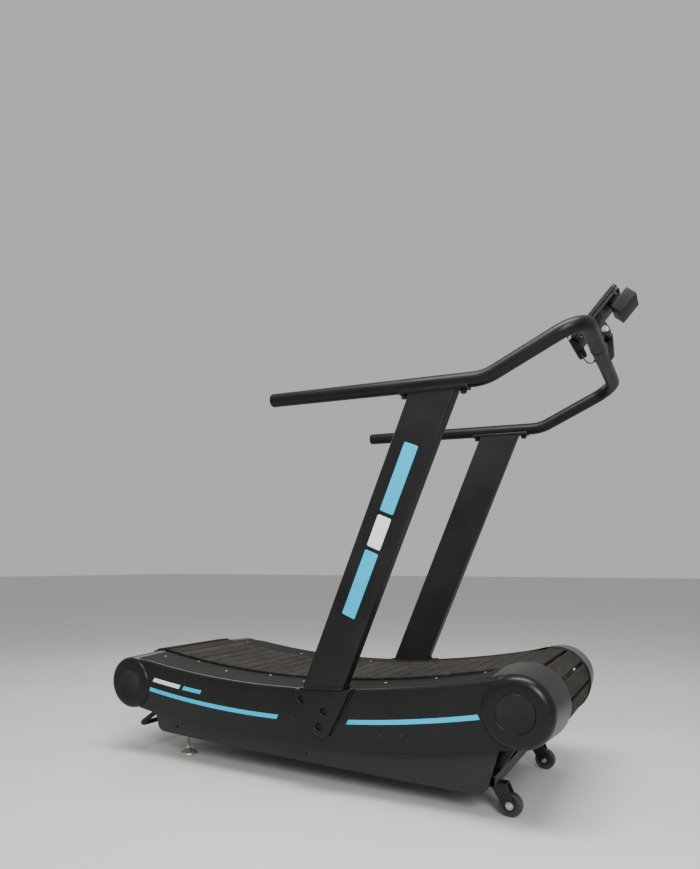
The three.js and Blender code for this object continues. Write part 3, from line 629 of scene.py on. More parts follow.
def area_light(name, place, target, size, power):
    light = bpy.data.lights.new(name, "AREA")
    light.shape = "RECTANGLE"
    light.size, light.size_y = size
    light.energy = power
    lamp = added(name, light)
    lamp.location = place
    lamp.rotation_euler = (Vector(target) - Vector(place)).to_track_quat("-Z", "Y").to_euler()


def studio():
    world = bpy.data.worlds.new("studio")
    bpy.context.scene.world = world
    world.use_nodes = True
    background = world.node_tree.nodes["Background"]
    background.inputs["Color"].default_value = (1, 0.99, 0.975, 1)
    background.inputs["Strength"].default_value = 0.52
    area_light("ceiling_light", (0.6, -1.1, 3.6), (0.1, 0, 0.4), (2.6, 1.1), 150)
    area_light("front_light", (2.6, -3.4, 2.5), (0.2, 0, 0.6), (1.3, 1.5), 140)
    area_light("rear_light", (-2.6, 1.8, 2.6), (0, 0, 0.6), (1.4, 1.4), 22)
    floor = mesh_of([(-40, -40, 0), (40, -40, 0), (40, 40, 0), (-40, 40, 0)], [(0, 1, 2, 3)])
    floor.materials.append(finish("floor", (0.60, 0.60, 0.59), (0.63, 0.63, 0.62), 0.75, grain=60, bump=0.05,
                                  cloud=1))
    added("floor", floor)


studio()


# ---- Belt and drums ----


def belt_legs(depth):
    """Run, front drum, return and rear drum, as (length, function of 0..1 to a point and its turn)."""
    radius = DRUM_RADIUS - depth
    span = (FRONT - REAR).length
    down = math.atan2(-(FRONT.x - REAR.x), FRONT.z - REAR.z)
    front_top = math.pi / 2 + FRONT_PHI
    rear_top = math.pi / 2 + REAR_PHI - 2 * math.pi

    def run(t):
        along = RUN_REAR + (RUN_FRONT - RUN_REAR) * t
        return on_run(along, depth), -along / RUN_RADIUS

    def around(drum, start, end):
        def at(t):
            angle = start + (end - start) * t
            return drum + Vector((math.cos(angle), 0, math.sin(angle))) * radius, math.pi / 2 - angle
        return at

    def back(t):
        return FRONT.lerp(REAR, t) + Vector((math.cos(down), 0, math.sin(down))) * radius, math.pi / 2 - down

    return [((RUN_RADIUS + depth) * (FRONT_PHI - REAR_PHI), run),
            (radius * (front_top - down), around(FRONT, front_top, down)),
            (span, back),
            (radius * (down - rear_top), around(REAR, down, rear_top))]


def belt_stations(depth, count):
    legs = belt_legs(depth)
    total = sum(length for length, _ in legs)
    stations = []
    for i in range(count):
        distance = total * (i + 0.5) / count
        leg = 0
        while distance > legs[leg][0]:
            distance -= legs[leg][0]
            leg += 1
        stations.append(legs[leg][1](distance / legs[leg][0]))
    return stations


RIBS = 8
RIB_HEIGHT = 0.0016


def slat_profile():
    """Slat section: (along, out from the pitch line, shade), with lateral ribs on top and rounded corners.
    The third number is painted shade: darker in the rib grooves and on the sides and underside, where the
    slats meet.
    """
    half = SLAT_LENGTH / 2
    top, foot = PITCH_DEPTH, PITCH_DEPTH - 0.012
    # Painted shade: 0.3 on the sides and underside where the slats meet, 0.6 on the top corners.
    profile = [(-half, foot, 0.3), (-half, top - 0.0055, 0.3), (-half + 0.0022, top - 0.0016, 0.6)]
    pitch = (SLAT_LENGTH - 0.006) / RIBS
    for i in range(RIBS):
        start = -half + 0.0030 + i * pitch
        # Rib tops 1.0, rib grooves 0.45: painted shade in the grooves.
        profile += [(start, top - RIB_HEIGHT, 0.45), (start + pitch * 0.22, top, 1.0),
                    (start + pitch * 0.68, top, 1.0), (start + pitch * 0.9, top - RIB_HEIGHT, 0.45)]
    profile += [(half - 0.0022, top - 0.0016, 0.6), (half, top - 0.0055, 0.3), (half, foot, 0.3),
                (half - 0.006, foot - 0.001, 0.3), (-half + 0.006, foot - 0.001, 0.3)]
    return profile


def slats():
    profile = slat_profile()
    points, faces, tones_and_groove_shade = [], [], []
    for number, (at, turn) in enumerate(belt_stations(PITCH_DEPTH, SLAT_COUNT)):
        ahead = Vector((math.cos(turn), 0, -math.sin(turn)))
        out = Vector((math.sin(turn), 0, math.cos(turn)))
        start = len(points)
        ends = ((-SLAT_HALF, 0.0012), (-SLAT_HALF + 0.0012, 0), (SLAT_HALF - 0.0012, 0), (SLAT_HALF, 0.0012))
        for y, inset in ends:
            for along, height, _ in profile:
                along -= math.copysign(min(inset, abs(along)), along) * 0.5
                place = at + ahead * along + out * (height - (inset if height > 0.01 else 0))
                points.append((place.x, y, place.z))
        count = len(profile)
        for row in range(3):
            for j in range(count):
                k = (j + 1) % count
                a = start + row * count
                faces.append((a + j, a + k, a + count + k, a + count + j))
        faces.append(tuple(range(start, start + count)))
        faces.append(tuple(range(start + 3 * count, start + 4 * count))[::-1])
        # Each slat's own random tone, times the painted shade from the profile.
        own = 0.80 + 0.32 * (math.sin(number * 12.9898) * 43758.5453 % 1)
        tones_and_groove_shade += [own * tone_and_groove_shade for _, _, tone_and_groove_shade in profile] * 4
    mesh = bpy.data.meshes.new("slats")
    mesh.from_pydata(points, [], faces)
    # Colour attribute: each slat's own tone, with painted shade in its grooves and along its edges.
    tone_and_groove_shade = mesh.attributes.new("tone_and_groove_shade", "FLOAT_COLOR", "POINT")
    for i, value in enumerate(tones_and_groove_shade):
        tone_and_groove_shade.data[i].color = (value, value * 0.985, value * 0.96, 1)
    work = bmesh.new()
    work.from_mesh(mesh)
    bmesh.ops.recalc_face_normals(work, faces=work.faces)
    work.to_mesh(mesh)
    work.free()
    made("slats", mesh, "frame", "slat_rubber", ["slat_belt"], 25)


def carrier_belts():
    """Two flat toothed belts that the slats are bolted to, with a nut plate under each slat."""
    stations = belt_stations(PITCH_DEPTH, 248)
    meshes = []
    for y0, y1 in ((-0.184, -0.150), (0.150, 0.184)):
        rings = []
        for at, turn in stations:
            out = Vector((math.sin(turn), 0, math.cos(turn)))
            rings.append([Vector((p.x, y, p.z)) for y, p in ((y0, at + out * 0.001), (y1, at + out * 0.001),
                                                             (y1, at - out * 0.004), (y0, at - out * 0.004))])
        meshes.append(loft(rings, looped=True))
    made("carrier_belts", merged(meshes), "frame", "carrier_rubber")
    nuts = []
    for at, turn in belt_stations(PITCH_DEPTH, SLAT_COUNT):
        tilt = Matrix.Translation(at) @ Matrix.Rotation(turn, 4, "Y")
        for y in (-0.205, 0.205):
            section = [(0, -0.005), (0.0045, -0.005), (0.005, -0.0042), (0.005, 0.002), (0, 0.002)]
            head = lathe(section, (0, y, 0), "Z", 6)
            nuts.append(moved(head, tilt))
    made("slat_nuts", merged(nuts), "frame", "dull_zinc")


def drum(name, axis):
    half = [(0.030, 0.140), (0.096, 0.140), (0.100, 0.1425), (0.1035, 0.144), (0.1035, 0.1855),
            (0.100, 0.187), (0.094, 0.187), (0.092, 0.183), (0.036, 0.183), (0.034, 0.190),
            (0.015, 0.190), (0.015, 0.246), (0.013, 0.248), (0, 0.248)]
    profile = [(r, -y) for r, y in half[::-1]] + half
    made(f"{name}_turned", lathe(profile, axis, sides=64), name, "dull_zinc", [name])


slats()
carrier_belts()
drum("front_drum", FRONT)
drum("rear_drum", REAR)


# ---- Side covers ----

FRONT_RIM = 0.130
FRONT_SIDE = 0.117
FRONT_FACE_Y = 0.421
REAR_RIM = 0.114
REAR_SIDE = 0.107
REAR_FACE_Y = 0.4185
FRONT_HOUSING = (FRONT, FRONT_RIM, FRONT_SIDE, 0.034, FRONT_FACE_Y)
REAR_HOUSING = (REAR, REAR_RIM, REAR_SIDE, 0.020, REAR_FACE_Y)
CAP_RADIUS = 0.0605
CREASE = 0.134
COVER_BOTTOM = 0.222


def housing(axis, rim, side, fillet, face_y, inset=0.0):
    """Housing round a drum end: a tapered side, a fillet and a flat face."""
    back = -0.2225 + (0.012 if inset else 0)
    profile = [(0, back), (rim - inset, back)]
    profile += [(side - fillet + r, -(face_y - fillet) - y)
                for r, y in arc((0, 0), fillet - inset, 0, 90, 9)]
    profile += [(CAP_RADIUS + 0.020, -face_y + inset), (0, -face_y + inset)]
    return lathe(profile, axis, sides=112)


def smoothstep(low, high, x):
    t = min(max((x - low) / (high - low), 0), 1)
    return t * t * (3 - 2 * t)


# The footrest starts just ahead of the rear drum's top, and ends where the front housing rises through it.
FOOTREST_REAR = RUN_REAR + 0.005
FRONT_REACH = math.sqrt(FRONT_RIM**2 - (DRUM_RADIUS - STRIP_DEPTH) ** 2) + 0.003
FOOTREST_FRONT = RUN_FRONT - FRONT_REACH + 0.010


def strip_lift(along, y):
    """How far the top moves to run flush into the tapered housings. In front the ridge stays put."""
    inward = min(max((abs(y) - 0.2225) / 0.1645, 0), 1)
    front = FRONT_RIM - (FRONT_RIM - FRONT_SIDE) * inward
    rear = REAR_RIM - (REAR_RIM - REAR_SIDE) * inward
    flush = DRUM_RADIUS - STRIP_DEPTH
    rise = smoothstep(RUN_FRONT - 0.135, RUN_FRONT - 0.012, along) * smoothstep(0.404, 0.384, abs(y))
    fall = smoothstep(RUN_REAR + 0.100, RUN_REAR, along)
    return rise * (front - flush) + fall * (rear - flush)


def band_ring(along, inset):
    """Section of the cover band, from the flange under the footrest to the lower face."""
    step = smoothstep(FOOTREST_FRONT + 0.0004, FOOTREST_FRONT + 0.0010, along)
    flange = 0.0127 - (0.0127 - STRIP_DEPTH) * step
    if inset:
        section = [(-0.211, flange + 0.004), (-0.394, 0.019), (-0.401, 0.027), (-0.4055, 0.130),
                   (-0.388, COVER_BOTTOM + 0.001), (-0.211, COVER_BOTTOM + 0.001)]
    else:
        ridge = [(0.392 + a, 0.0255 + b) for a, b in arc((0, 0), 0.0155, -100, 0, 10)]
        section = [(-0.2225, flange), (-0.384, flange), (-0.389, flange + 0.0001),
                   (-0.3891, STRIP_DEPTH + 0.0008)]
        section += [(-y, depth) for y, depth in ridge]
        section += [(-0.4085, 0.050), (-0.4092, 0.100), (-0.410, 0.124), (-0.4098, 0.129), (-0.4085, CREASE),
                    (-0.4045, 0.152), (-0.398, 0.190), (-0.3925, COVER_BOTTOM - 0.003),
                    (-0.389, COVER_BOTTOM), (-0.2225, COVER_BOTTOM)]
    ring = []
    for y, depth in section:
        near_top = smoothstep(0.100, 0.022, depth)
        lift = 0 if inset else strip_lift(along, y) * near_top
        low = max(0, depth - CREASE) / (COVER_BOTTOM - CREASE) * 0.022 * max(0, along - 0.300)
        place = on_run(along, depth - lift + low)
        ring.append(Vector((place.x, y, place.z)))
    return ring


def band(inset):
    stations = [RUN_REAR + (RUN_FRONT - RUN_REAR) * i / 84 for i in range(85)]
    if not inset:
        stations += [FOOTREST_FRONT + 0.0004, FOOTREST_FRONT + 0.0010]
    return loft([band_ring(along, inset) for along in sorted(stations)])


UPRIGHT_TURN = Matrix.Translation(UPRIGHT_BASE) @ Matrix.Rotation(LEAN, 4, "Y")
FOOT_BOLTS = [(-0.028, 0.337), (0.063, 0.303), (0.043, 0.247)]
SHIELD_Y = 0.431


def shield():
    """Raised guard over the foot of the upright, its top following the footrest."""
    face = rounded([(-0.090, -0.172), (0.074, -0.172), (0.088, -0.158), (0.112, 0.090), (-0.097, 0.090),
                    (-0.097, -0.165)], 0.007)
    blank = moved(plate(face, -SHIELD_Y, -0.392, bevel=0.006), UPRIGHT_TURN)
    rings = []
    for i in range(25):
        along = -0.15 + 0.75 * i / 24
        rings.append([Vector((p.x, y, p.z)) for y, p in
                      [(-SHIELD_Y + 0.018 - 0.018 * math.sin(a), on_run(along, 0.026 - 0.018 * math.cos(a)))
                       for a in (math.pi / 2 * k / 9 for k in range(10))]
                      + [(-SHIELD_Y - 0.004, on_run(along, 0.30)), (-0.30, on_run(along, 0.30)),
                         (-0.30, on_run(along, 0.008))]])
    return combined(blank, [loft(rings)], "INTERSECT")


def upright_room():
    room = 0.006
    shape = rounded_box(-0.075 - room, -0.161, 0.075 + room, 0.26, 0.006)
    return moved(plate(shape, -0.420 - room, -0.370 + room, bevel=0.0008), UPRIGHT_TURN)


def side_cover():
    outside = combined(band(False), [housing(*FRONT_HOUSING), housing(*REAR_HOUSING), shield()], "UNION")
    cuts = [band(True), housing(*FRONT_HOUSING, 0.004), housing(*REAR_HOUSING, 0.004), upright_room()]
    for axis, face_y in ((FRONT, FRONT_FACE_Y), (REAR, REAR_FACE_Y)):
        cuts.append(lathe([(0, -face_y - 0.01), (CAP_RADIUS + 0.0024, -face_y - 0.01),
                           (CAP_RADIUS + 0.0024, -face_y), (CAP_RADIUS + 0.0008, -face_y + 0.0016),
                           (CAP_RADIUS + 0.0006, -face_y + 0.0026), (0, -face_y + 0.0026)], axis))
    mesh = combined(outside, cuts, "DIFFERENCE")
    for x, z in FOOT_BOLTS:
        well = lathe([(0, -0.45), (0.0150, -0.45), (0.0150, -SHIELD_Y), (0.0130, -SHIELD_Y + 0.0018),
                      (0.0122, -0.40), (0, -0.40)], (x, 0, z), sides=32)
        mesh = combined(mesh, [well], "DIFFERENCE")
    pair("side_cover_shell", cleaned(mesh), "frame", "cover_plastic", ["side_cover"], 28)


def lower_screws():
    """Two small screws in the cover's lower face, forward of the upright."""
    heads = []
    for along in (0.465, 0.540):
        at = on_run(along, 0.166)
        head = lathe([(0, -0.001), (0.0052, -0.001), (0.0052, 0.0008), (0.0030, 0.0020), (0.0012, 0.0020),
                      (0.0010, 0.0010), (0, 0.0010)], (0, 0, 0), "Z", 24)
        turn = Matrix.Translation((at.x, -0.4015, at.z)) @ Matrix.Rotation(math.radians(78), 4, "X")
        heads.append(moved(head, turn))
    pair("cover_screws", merged(heads), "frame", "carrier_rubber")


def end_caps():
    for name, axis, face_y in (("end_cap_front", FRONT, FRONT_FACE_Y), ("end_cap_rear", REAR, REAR_FACE_Y)):
        profile = [(0, -face_y + 0.0024), (CAP_RADIUS - 0.0004, -face_y + 0.0024),
                   (CAP_RADIUS - 0.0004, -face_y + 0.0010), (CAP_RADIUS - 0.0014, -face_y),
                   (CAP_RADIUS - 0.006, -face_y), (CAP_RADIUS - 0.0075, -face_y + 0.0006),
                   (0, -face_y + 0.0008)]
        pair(f"{name}_disc", lathe(profile, axis), "frame", "cap_plastic", [name])


side_cover()
lower_screws()
end_caps()


# ---- Footrests, screws and stripes ----


def footrests():
    rings = []
    for i in range(81):
        along = FOOTREST_REAR + (FOOTREST_FRONT - FOOTREST_REAR) * i / 80
        section = [(-0.3885, 0.0120), (-0.3885, 0.0096), (-0.3879, STRIP_DEPTH), (-0.384, STRIP_DEPTH),
                   (-0.2222, STRIP_DEPTH), (-0.2212, 0.0096), (-0.2210, 0.0120), (-0.384, 0.0120)]
        ring = [(y, on_run(along, depth - strip_lift(along, y))) for y, depth in section]
        rings.append([Vector((p.x, y, p.z)) for y, p in ring])
    mesh = combined(loft(rings), [upright_room()], "DIFFERENCE")
    pair("footrest_strip", cleaned(mesh), "frame", "footrest_plastic", ["footrest"])
    heads = []
    for along, y in ((-0.610, -0.287), (-0.465, -0.237), (-0.275, -0.282), (-0.085, -0.237), (0.105, -0.282),
                     (0.450, -0.282), (0.625, -0.237), (0.800, -0.228)):
        at = on_run(along, STRIP_DEPTH - strip_lift(along, y))
        head = lathe([(0, -0.001), (0.0055, -0.001), (0.0055, 0.0006), (0.0035, 0.0018), (0.0016, 0.0021),
                      (0.0014, 0.0011), (0, 0.0009)], (0, 0, 0), "Z", 24)
        tilt = Matrix.Translation((at.x, y, at.z)) @ Matrix.Rotation(-along / RUN_RADIUS, 4, "Y")
        heads.append(moved(head, tilt))
    pair("footrest_screws", merged(heads), "frame", "zinc_steel")


def face_y(depth):
    """The cover's upper side face, at a depth below the running surface."""
    return -0.4075 - 0.0025 * (depth - 0.031) / 0.099


def side_stripe(name, start, end, slants, material, depths, replaces=()):
    """A thin strip on the cover's side; its ends slant with the depth."""
    top, bottom = depths
    rings = []
    for i in range(33):
        t = i / 32
        ring = []
        for depth, out in ((top, 0.0002), (top, 0.0011), (bottom, 0.0011), (bottom, 0.0002)):
            share = (depth - top) / (bottom - top)
            along = (start + slants[0] * share) * (1 - t) + (end + slants[1] * share) * t
            place = on_run(along, depth)
            ring.append(Vector((place.x, face_y(depth) - out, place.z)))
        rings.append(ring)
    pair(name, loft(rings), "frame", material, replaces)


footrests()
side_stripe("accent_rear", -0.560, 0.072, (0.000, -0.008), "accent_cyan", (0.113, 0.129), ["stripe_rear"])
side_stripe("accent_front", 0.357, 0.806, (-0.010, 0.004), "accent_cyan", (0.113, 0.129), ["stripe_front"])
side_stripe("dash_white", -0.541, -0.400, (-0.008, -0.008), "accent_white", (0.070, 0.086))
side_stripe("dash_cyan", -0.382, -0.290, (-0.008, -0.008), "accent_cyan", (0.070, 0.086))


# ---- Frame ----


def plain_pair(node, mesh, material="painted_steel"):
    pair(f"{node}_shaped", mesh, "frame", material, [node])


SKIRT_HOLE = 0.005


def skirts():
    outline = [(-0.822, 0.172), (-0.807, 0.124), (-0.791, 0.110), (-0.771, 0.107)]
    for i in range(1, 17):
        t = i / 16
        outline.append(((1 - t) ** 2 * -0.771 + 2 * t * (1 - t) * -0.121 + t * t * 0.572,
                        (1 - t) ** 2 * 0.107 + 2 * t * (1 - t) * 0.082 + t * t * 0.077))
    outline += [(0.603, 0.080), (0.622, 0.100), (0.660, 0.238)]
    radius = RUN_RADIUS + 0.190
    start = math.asin((0.590 - CENTRE.x) / radius)
    end = math.asin((-0.822 - CENTRE.x) / radius)
    for i in range(25):
        phi = start + (end - start) * i / 24
        outline.append((CENTRE.x + radius * math.sin(phi), CENTRE.z - radius * math.cos(phi)))
    holes = [(-0.699, 0.138, SKIRT_HOLE), (-0.061, 0.118, SKIRT_HOLE), (0.579, 0.098, SKIRT_HOLE)]
    plain_pair("skirt", plate(outline, -0.345, -0.342, holes, 0.0006), "skirt_paint")


def side_rails():
    outline = rounded([(-0.835, 0.145), (0.645, 0.145), (0.693, 0.221), (0.661, 0.233), (0.625, 0.195),
                       (-0.835, 0.195)], 0.003)
    solid = plate(outline, -0.2718, -0.2218, bevel=0.002)
    bore = rounded_box(-0.90, 0.148, 0.615, 0.192, 0.002)
    plain_pair("side_rail", combined(solid, [plate(bore, -0.2688, -0.2248, bevel=0.001)], "DIFFERENCE"))


def crossmembers():
    for node in ("crossmember_front", "crossmember_mid", "crossmember_rear"):
        low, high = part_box(node)
        outer = rounded_box(low.x, low.z, high.x, high.z, 0.004)
        inner = rounded_box(low.x + 0.003, low.z + 0.003, high.x - 0.003, high.z - 0.003, 0.002)
        body = plate(outer, low.y, high.y, bevel=0.0004)
        hollow = plate(inner, low.y - 0.01, high.y + 0.01, bevel=0.0002)
        mesh = combined(body, [hollow], "DIFFERENCE")
        made(f"{node}_tube", mesh, "frame", "painted_steel", [node])


skirts()
side_rails()
crossmembers()

for node, material in (("side_plate", "painted_steel"), ("upright_bracket", "painted_steel"),
                       ("bearing_front", "dull_zinc"), ("bearing_rear", "dull_zinc"),
                       ("roller_rail", "dull_zinc")):
    for side in ("right", "left"):
        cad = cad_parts[f"{node}_{side}"]
        cad.data.materials.clear()
        cad.data.materials.append(MATERIALS[material])
        edge = cad.modifiers.new("edge", "BEVEL")
        edge.width = 0.0006
        edge.segments = 2
        edge.limit_method = "ANGLE"
        edge.angle_limit = math.radians(50)


# ---- Uprights and hand rail ----


def bar_slope():
    return math.atan2(BAR_END.z - BAR_BEND.z, BAR_BEND.x - BAR_END.x)


def bar_height(x):
    return BAR_END.z - (x - BAR_END.x) * math.tan(bar_slope())


SADDLE_X = 0.057 + (1.374 - 0.395) * math.tan(LEAN)
SADDLE_BASE = 0.027


def upright_section(half, depth, corner):
    return rounded_box(-half, -depth, half, depth, corner, 6)


def uprights():
    """Rounded rectangular tube, its top cut parallel to the hand rail."""
    drop = SADDLE_BASE + 0.0003
    slope = math.tan(bar_slope())

    def ring(section, top):
        points = []
        for a, b in section:
            low = UPRIGHT_TURN @ Vector((a, 0, -0.155))
            direction = UPRIGHT_TURN.to_3x3() @ Vector((0, 0, 1))
            gap = bar_height(low.x) - drop - low.z
            rise = gap / (direction.z + slope * direction.x)
            place = low + direction * (rise if top else 0)
            points.append(Vector((place.x, -0.395 + b, place.z)))
        return points

    outer = upright_section(0.075, 0.025, 0.008)
    inner = upright_section(0.072, 0.022, 0.005)
    mesh = loft([ring(outer, False), ring(outer, True), ring(inner, True), ring(inner, False)], looped=True)
    pair("upright_tube", mesh, "frame", "upright_paint", ["upright"])


def foot_collar():
    """Thin trim ring round the foot of each upright, where it passes through the cover."""
    outer = upright_section(0.0795, 0.0295, 0.010)
    inner = upright_section(0.0757, 0.0257, 0.007)

    def ring(section, depth):
        points = []
        for a, b in section:
            low = UPRIGHT_TURN @ Vector((a, 0, 0))
            direction = UPRIGHT_TURN.to_3x3() @ Vector((0, 0, 1))
            reach = 0
            for _ in range(12):
                now = low + direction * reach
                reach += (now - CENTRE).length - (RUN_RADIUS + depth)
            place = low + direction * reach
            points.append(Vector((place.x, -0.395 + b, place.z)))
        return points

    mesh = loft([ring(outer, 0.011), ring(outer, 0.0035), ring(inner, 0.0025), ring(inner, 0.011)],
                looped=True)
    pair("foot_collar", mesh, "frame", "console_plastic")


def upright_stripes():
    """Plain colour bands on the outer face of each upright."""
    def stripe(low, high):
        shape = rounded_box(-0.026, low, 0.026, high, 0.006)
        return moved(plate(shape, -0.4208, -0.4199, bevel=0.0002), UPRIGHT_TURN)

    cyan = merged([stripe(0.262, 0.500), stripe(0.640, 0.878)])
    pair("upright_band_cyan", cyan, "frame", "accent_cyan")
    pair("upright_band_white", stripe(0.514, 0.626), "frame", "accent_white")


def foot_bolts():
    heads = [socket_screw((x, 0, z), 0.009, -0.4200, -0.4262) for x, z in FOOT_BOLTS]
    washers = [lathe([(0.007, -0.4200), (0.0112, -0.4200), (0.0112, -0.4212), (0.007, -0.4212)], (x, 0, z),
                     sides=24) for x, z in FOOT_BOLTS]
    pair("upright_bolt_heads", merged(heads + washers), "frame", "cap_plastic",
         ["upright_bolts"])


def saddles():
    """Curved seat that joins each upright to the hand rail, with a bolt at each end."""
    turn = Matrix.Translation((SADDLE_X, -0.401, bar_height(SADDLE_X))) @ Matrix.Rotation(bar_slope(), 4, "Y")
    blank = block((-0.120, -0.023, -SADDLE_BASE), (0.120, 0.023, -0.014), 0.004, 4)
    groove = lathe(rod(BAR_RADIUS + 0.0005, -0.2, 0.2), (0, 0, 0), sides=64)
    moved(groove, Matrix.Translation((0, -0.004, 0)) @ Matrix.Rotation(math.pi / 2, 4, "Z"))
    seat = moved(combined(blank, [groove], "DIFFERENCE"), turn)
    pair("saddle_seat", cleaned(seat), "frame", "painted_steel", ["bar_saddle"])
    bolts = []
    for x in (-0.102, 0.102):
        washer = lathe(rod(0.0125, -SADDLE_BASE - 0.0020, -SADDLE_BASE), (x, 0, 0), "Z", 32)
        head = lathe([(0, -SADDLE_BASE - 0.0128), (0.0090, -SADDLE_BASE - 0.0128),
                      (0.0109, -SADDLE_BASE - 0.0112), (0.0109, -SADDLE_BASE - 0.0020),
                      (0, -SADDLE_BASE - 0.0020)], (x, 0, 0), "Z", 6)
        bolts += [moved(washer, turn), moved(head, turn)]
    pair("saddle_bolts", merged(bolts), "frame", "cap_plastic")


def handlebar():
    def side(y):
        return [(Vector((BAR_END.x, y, BAR_END.z)), 0), (Vector((BAR_BEND.x, y, BAR_BEND.z)), 0.150),
                (Vector((BAR_CORNER.x, y, BAR_CORNER.z)), 0.085)]

    points = bent_path(side(-BAR_Y) + side(BAR_Y)[::-1], 18)
    made("hand_rail_tube", tube(points, BAR_RADIUS, 48, BAR_RADIUS - 0.0025), "frame", "bar_paint",
         ["handlebar"])
    dome = [(0.0195, 0.024), (0.0195, -0.0003), (0.0238, -0.0003)]
    dome += [(0.0238 * math.cos(a), -0.0012 - 0.0078 * math.sin(a)) for a in
             (math.pi / 2 * i / 8 for i in range(9))]
    plug = lathe([(0, 0.024)] + dome, (0, 0, 0), sides=48)
    turn = (Matrix.Translation((BAR_END.x, -BAR_Y, BAR_END.z)) @ Matrix.Rotation(bar_slope(), 4, "Y")
            @ Matrix.Rotation(-math.pi / 2, 4, "Z"))
    pair("bar_end_plug", moved(plug, turn), "frame", "console_plastic", ["bar_plug"])


uprights()
foot_collar()
upright_stripes()
foot_bolts()
saddles()
handlebar()


# ---- Console ----

ON_CONSOLE = Matrix.Translation(PIVOT) @ Matrix.Rotation(TILT, 4, "Y")


def console_plate(outline, x0, x1, bevel):
    mesh = plate(outline, x0, x1, bevel=bevel)
    swap = Matrix(((0, 1, 0, 0), (1, 0, 0, 0), (0, 0, 1, 0), (0, 0, 0, 1)))
    mesh.transform(swap)
    return cleaned(mesh)


def panel_outline(inset):
    low, high, half = -0.081 + inset, 0.127 - inset, 0.060 - inset
    return rounded_box(-half, low, half, high, 0.013 - inset * 0.5, 8)


def console():
    bezel = console_plate(panel_outline(0), -0.075, -0.060, 0.003)
    pocket = console_plate(rounded_box(-0.0473, -0.0003, 0.0473, 0.1123, 0.003), -0.080, -0.0727, 0.0004)
    bezel = moved(combined(bezel, [pocket], "DIFFERENCE"), ON_CONSOLE)
    made("console_front", bezel, "console", "console_plastic", ["console_bezel"])

    glass = console_plate(rounded_box(-0.047, 0, 0.047, 0.112, 0.003), -0.0746, -0.0728, 0.0004)
    made("console_screen", moved(glass, ON_CONSOLE), "console", "display_glass",
         ["console_display"])
    keys = []
    for i in range(4):
        y = -0.036 + 0.024 * i
        key = rounded_box(y - 0.008, -0.030, y + 0.008, -0.020, 0.003)
        keys.append(console_plate(key, -0.0756, -0.0745, 0.0004))
    made("console_keys", moved(merged(keys), ON_CONSOLE), "console", "key_print")

    shell = console_plate(panel_outline(0.003), -0.0597, -0.048, 0.0025)
    lug_shape = [(-0.052, 0.034), (-0.052, -0.030), (-0.008, -0.013)] + arc((0, 0), 0.015, -80, 80, 12)
    lug = plate(rounded(lug_shape, 0.0), -0.037, 0.037, [(0, 0, 0.0063)], 0.001)
    pad = block((-0.050, -0.034, 0.078), (-0.0323, 0.034, 0.116), 0.002)
    screws = []
    for y in (-0.044, 0.044):
        for z in (-0.060, 0.106):
            screws.append(console_plate(arc((y, z), 0.0035, 0, 340, 17), -0.0485, -0.0470, 0.0004))
    back = moved(merged([shell, lug, pad]), ON_CONSOLE)
    made("console_rear_shell", back, "console", "console_plastic", ["console_back"])
    made("console_screws", moved(merged(screws), ON_CONSOLE), "console", "dull_zinc")

    battery = block((-0.032, -0.053, 0.064), (0.010, 0.053, 0.138), 0.0028, 4)
    made("battery_case", moved(battery, ON_CONSOLE), "console", "battery_plastic",
         ["battery_box"])

    pod = plate(rounded([(-0.094, -0.084), (-0.079, -0.0813), (-0.020, -0.0813), (-0.015, -0.088),
                         (-0.024, -0.108), (-0.034, -0.108)], 0.003), -0.046, 0.046, bevel=0.0015)
    made("console_pod_shell", moved(pod, ON_CONSOLE), "console", "pod_plastic",
         ["console_pod"])
    at = Vector((-0.076, 0, -0.0863))
    pod_screws = [hex_head(at, 0.0048, side * 0.0458, side * 0.0490) for side in (-1, 1)]
    made("console_pod_screws", moved(merged(pod_screws), ON_CONSOLE), "console", "zinc_steel")


def bracket():
    cheek = rounded([(-0.014, 0), (-0.026, -0.066, 0.006), (0, -0.094, 0.006), (0.022, -0.072, 0.010)]
                    + arc((0, 0), 0.017, 0, 180, 14), 0.0)
    pieces = [plate(cheek, -0.042, -0.038, [(0, 0, 0.0064)], 0.0006),
              plate(cheek, 0.038, 0.042, [(0, 0, 0.0064)], 0.0006)]
    web = block((-0.014, -0.040, -0.092), (0.006, 0.040, -0.046), 0.0015)
    groove = lathe(rod(BAR_RADIUS + 0.0004, -0.1, 0.1),
                   (BAR_CORNER.x - PIVOT.x, 0, BAR_CORNER.z - PIVOT.z), sides=48)
    placed = combined(merged(pieces + [web]), [groove], "DIFFERENCE")
    made("console_cheeks", moved(placed, Matrix.Translation(PIVOT)), "frame", "battery_plastic",
         ["console_bracket"])
    pin = lathe(rod(0.006, -0.0423, 0.0423), PIVOT, sides=32)
    head = hex_head(PIVOT, 0.0105, -0.0438, -0.052)
    nut = hex_head(PIVOT, 0.0105, 0.0438, 0.050)
    washers = [lathe(rod(0.0115, s * 0.0422, s * 0.0438), PIVOT) for s in (-1, 1)]
    made("console_pivot_bolt", merged([pin, head, nut] + washers), "frame", "zinc_steel",
         ["pivot_bolt"])


def cable_grommet():
    """Rubber grommet on the cross bar that the signal cable goes into."""
    end = Vector(CABLE_ROUTE[-1])
    centre = Vector((BAR_CORNER.x, end.y, BAR_CORNER.z))
    outward = (end - centre).normalized()
    rings = []
    for radius, low, high in ((0.0056, 0.0230, 0.0252), (0.0040, 0.0230, 0.0278)):
        rings.append(tube([centre + outward * (low + (high - low) * t) for t in (0, 0.5, 1)], radius, 24))
    made("cable_grommet", merged(rings), "frame", "cable_rubber")


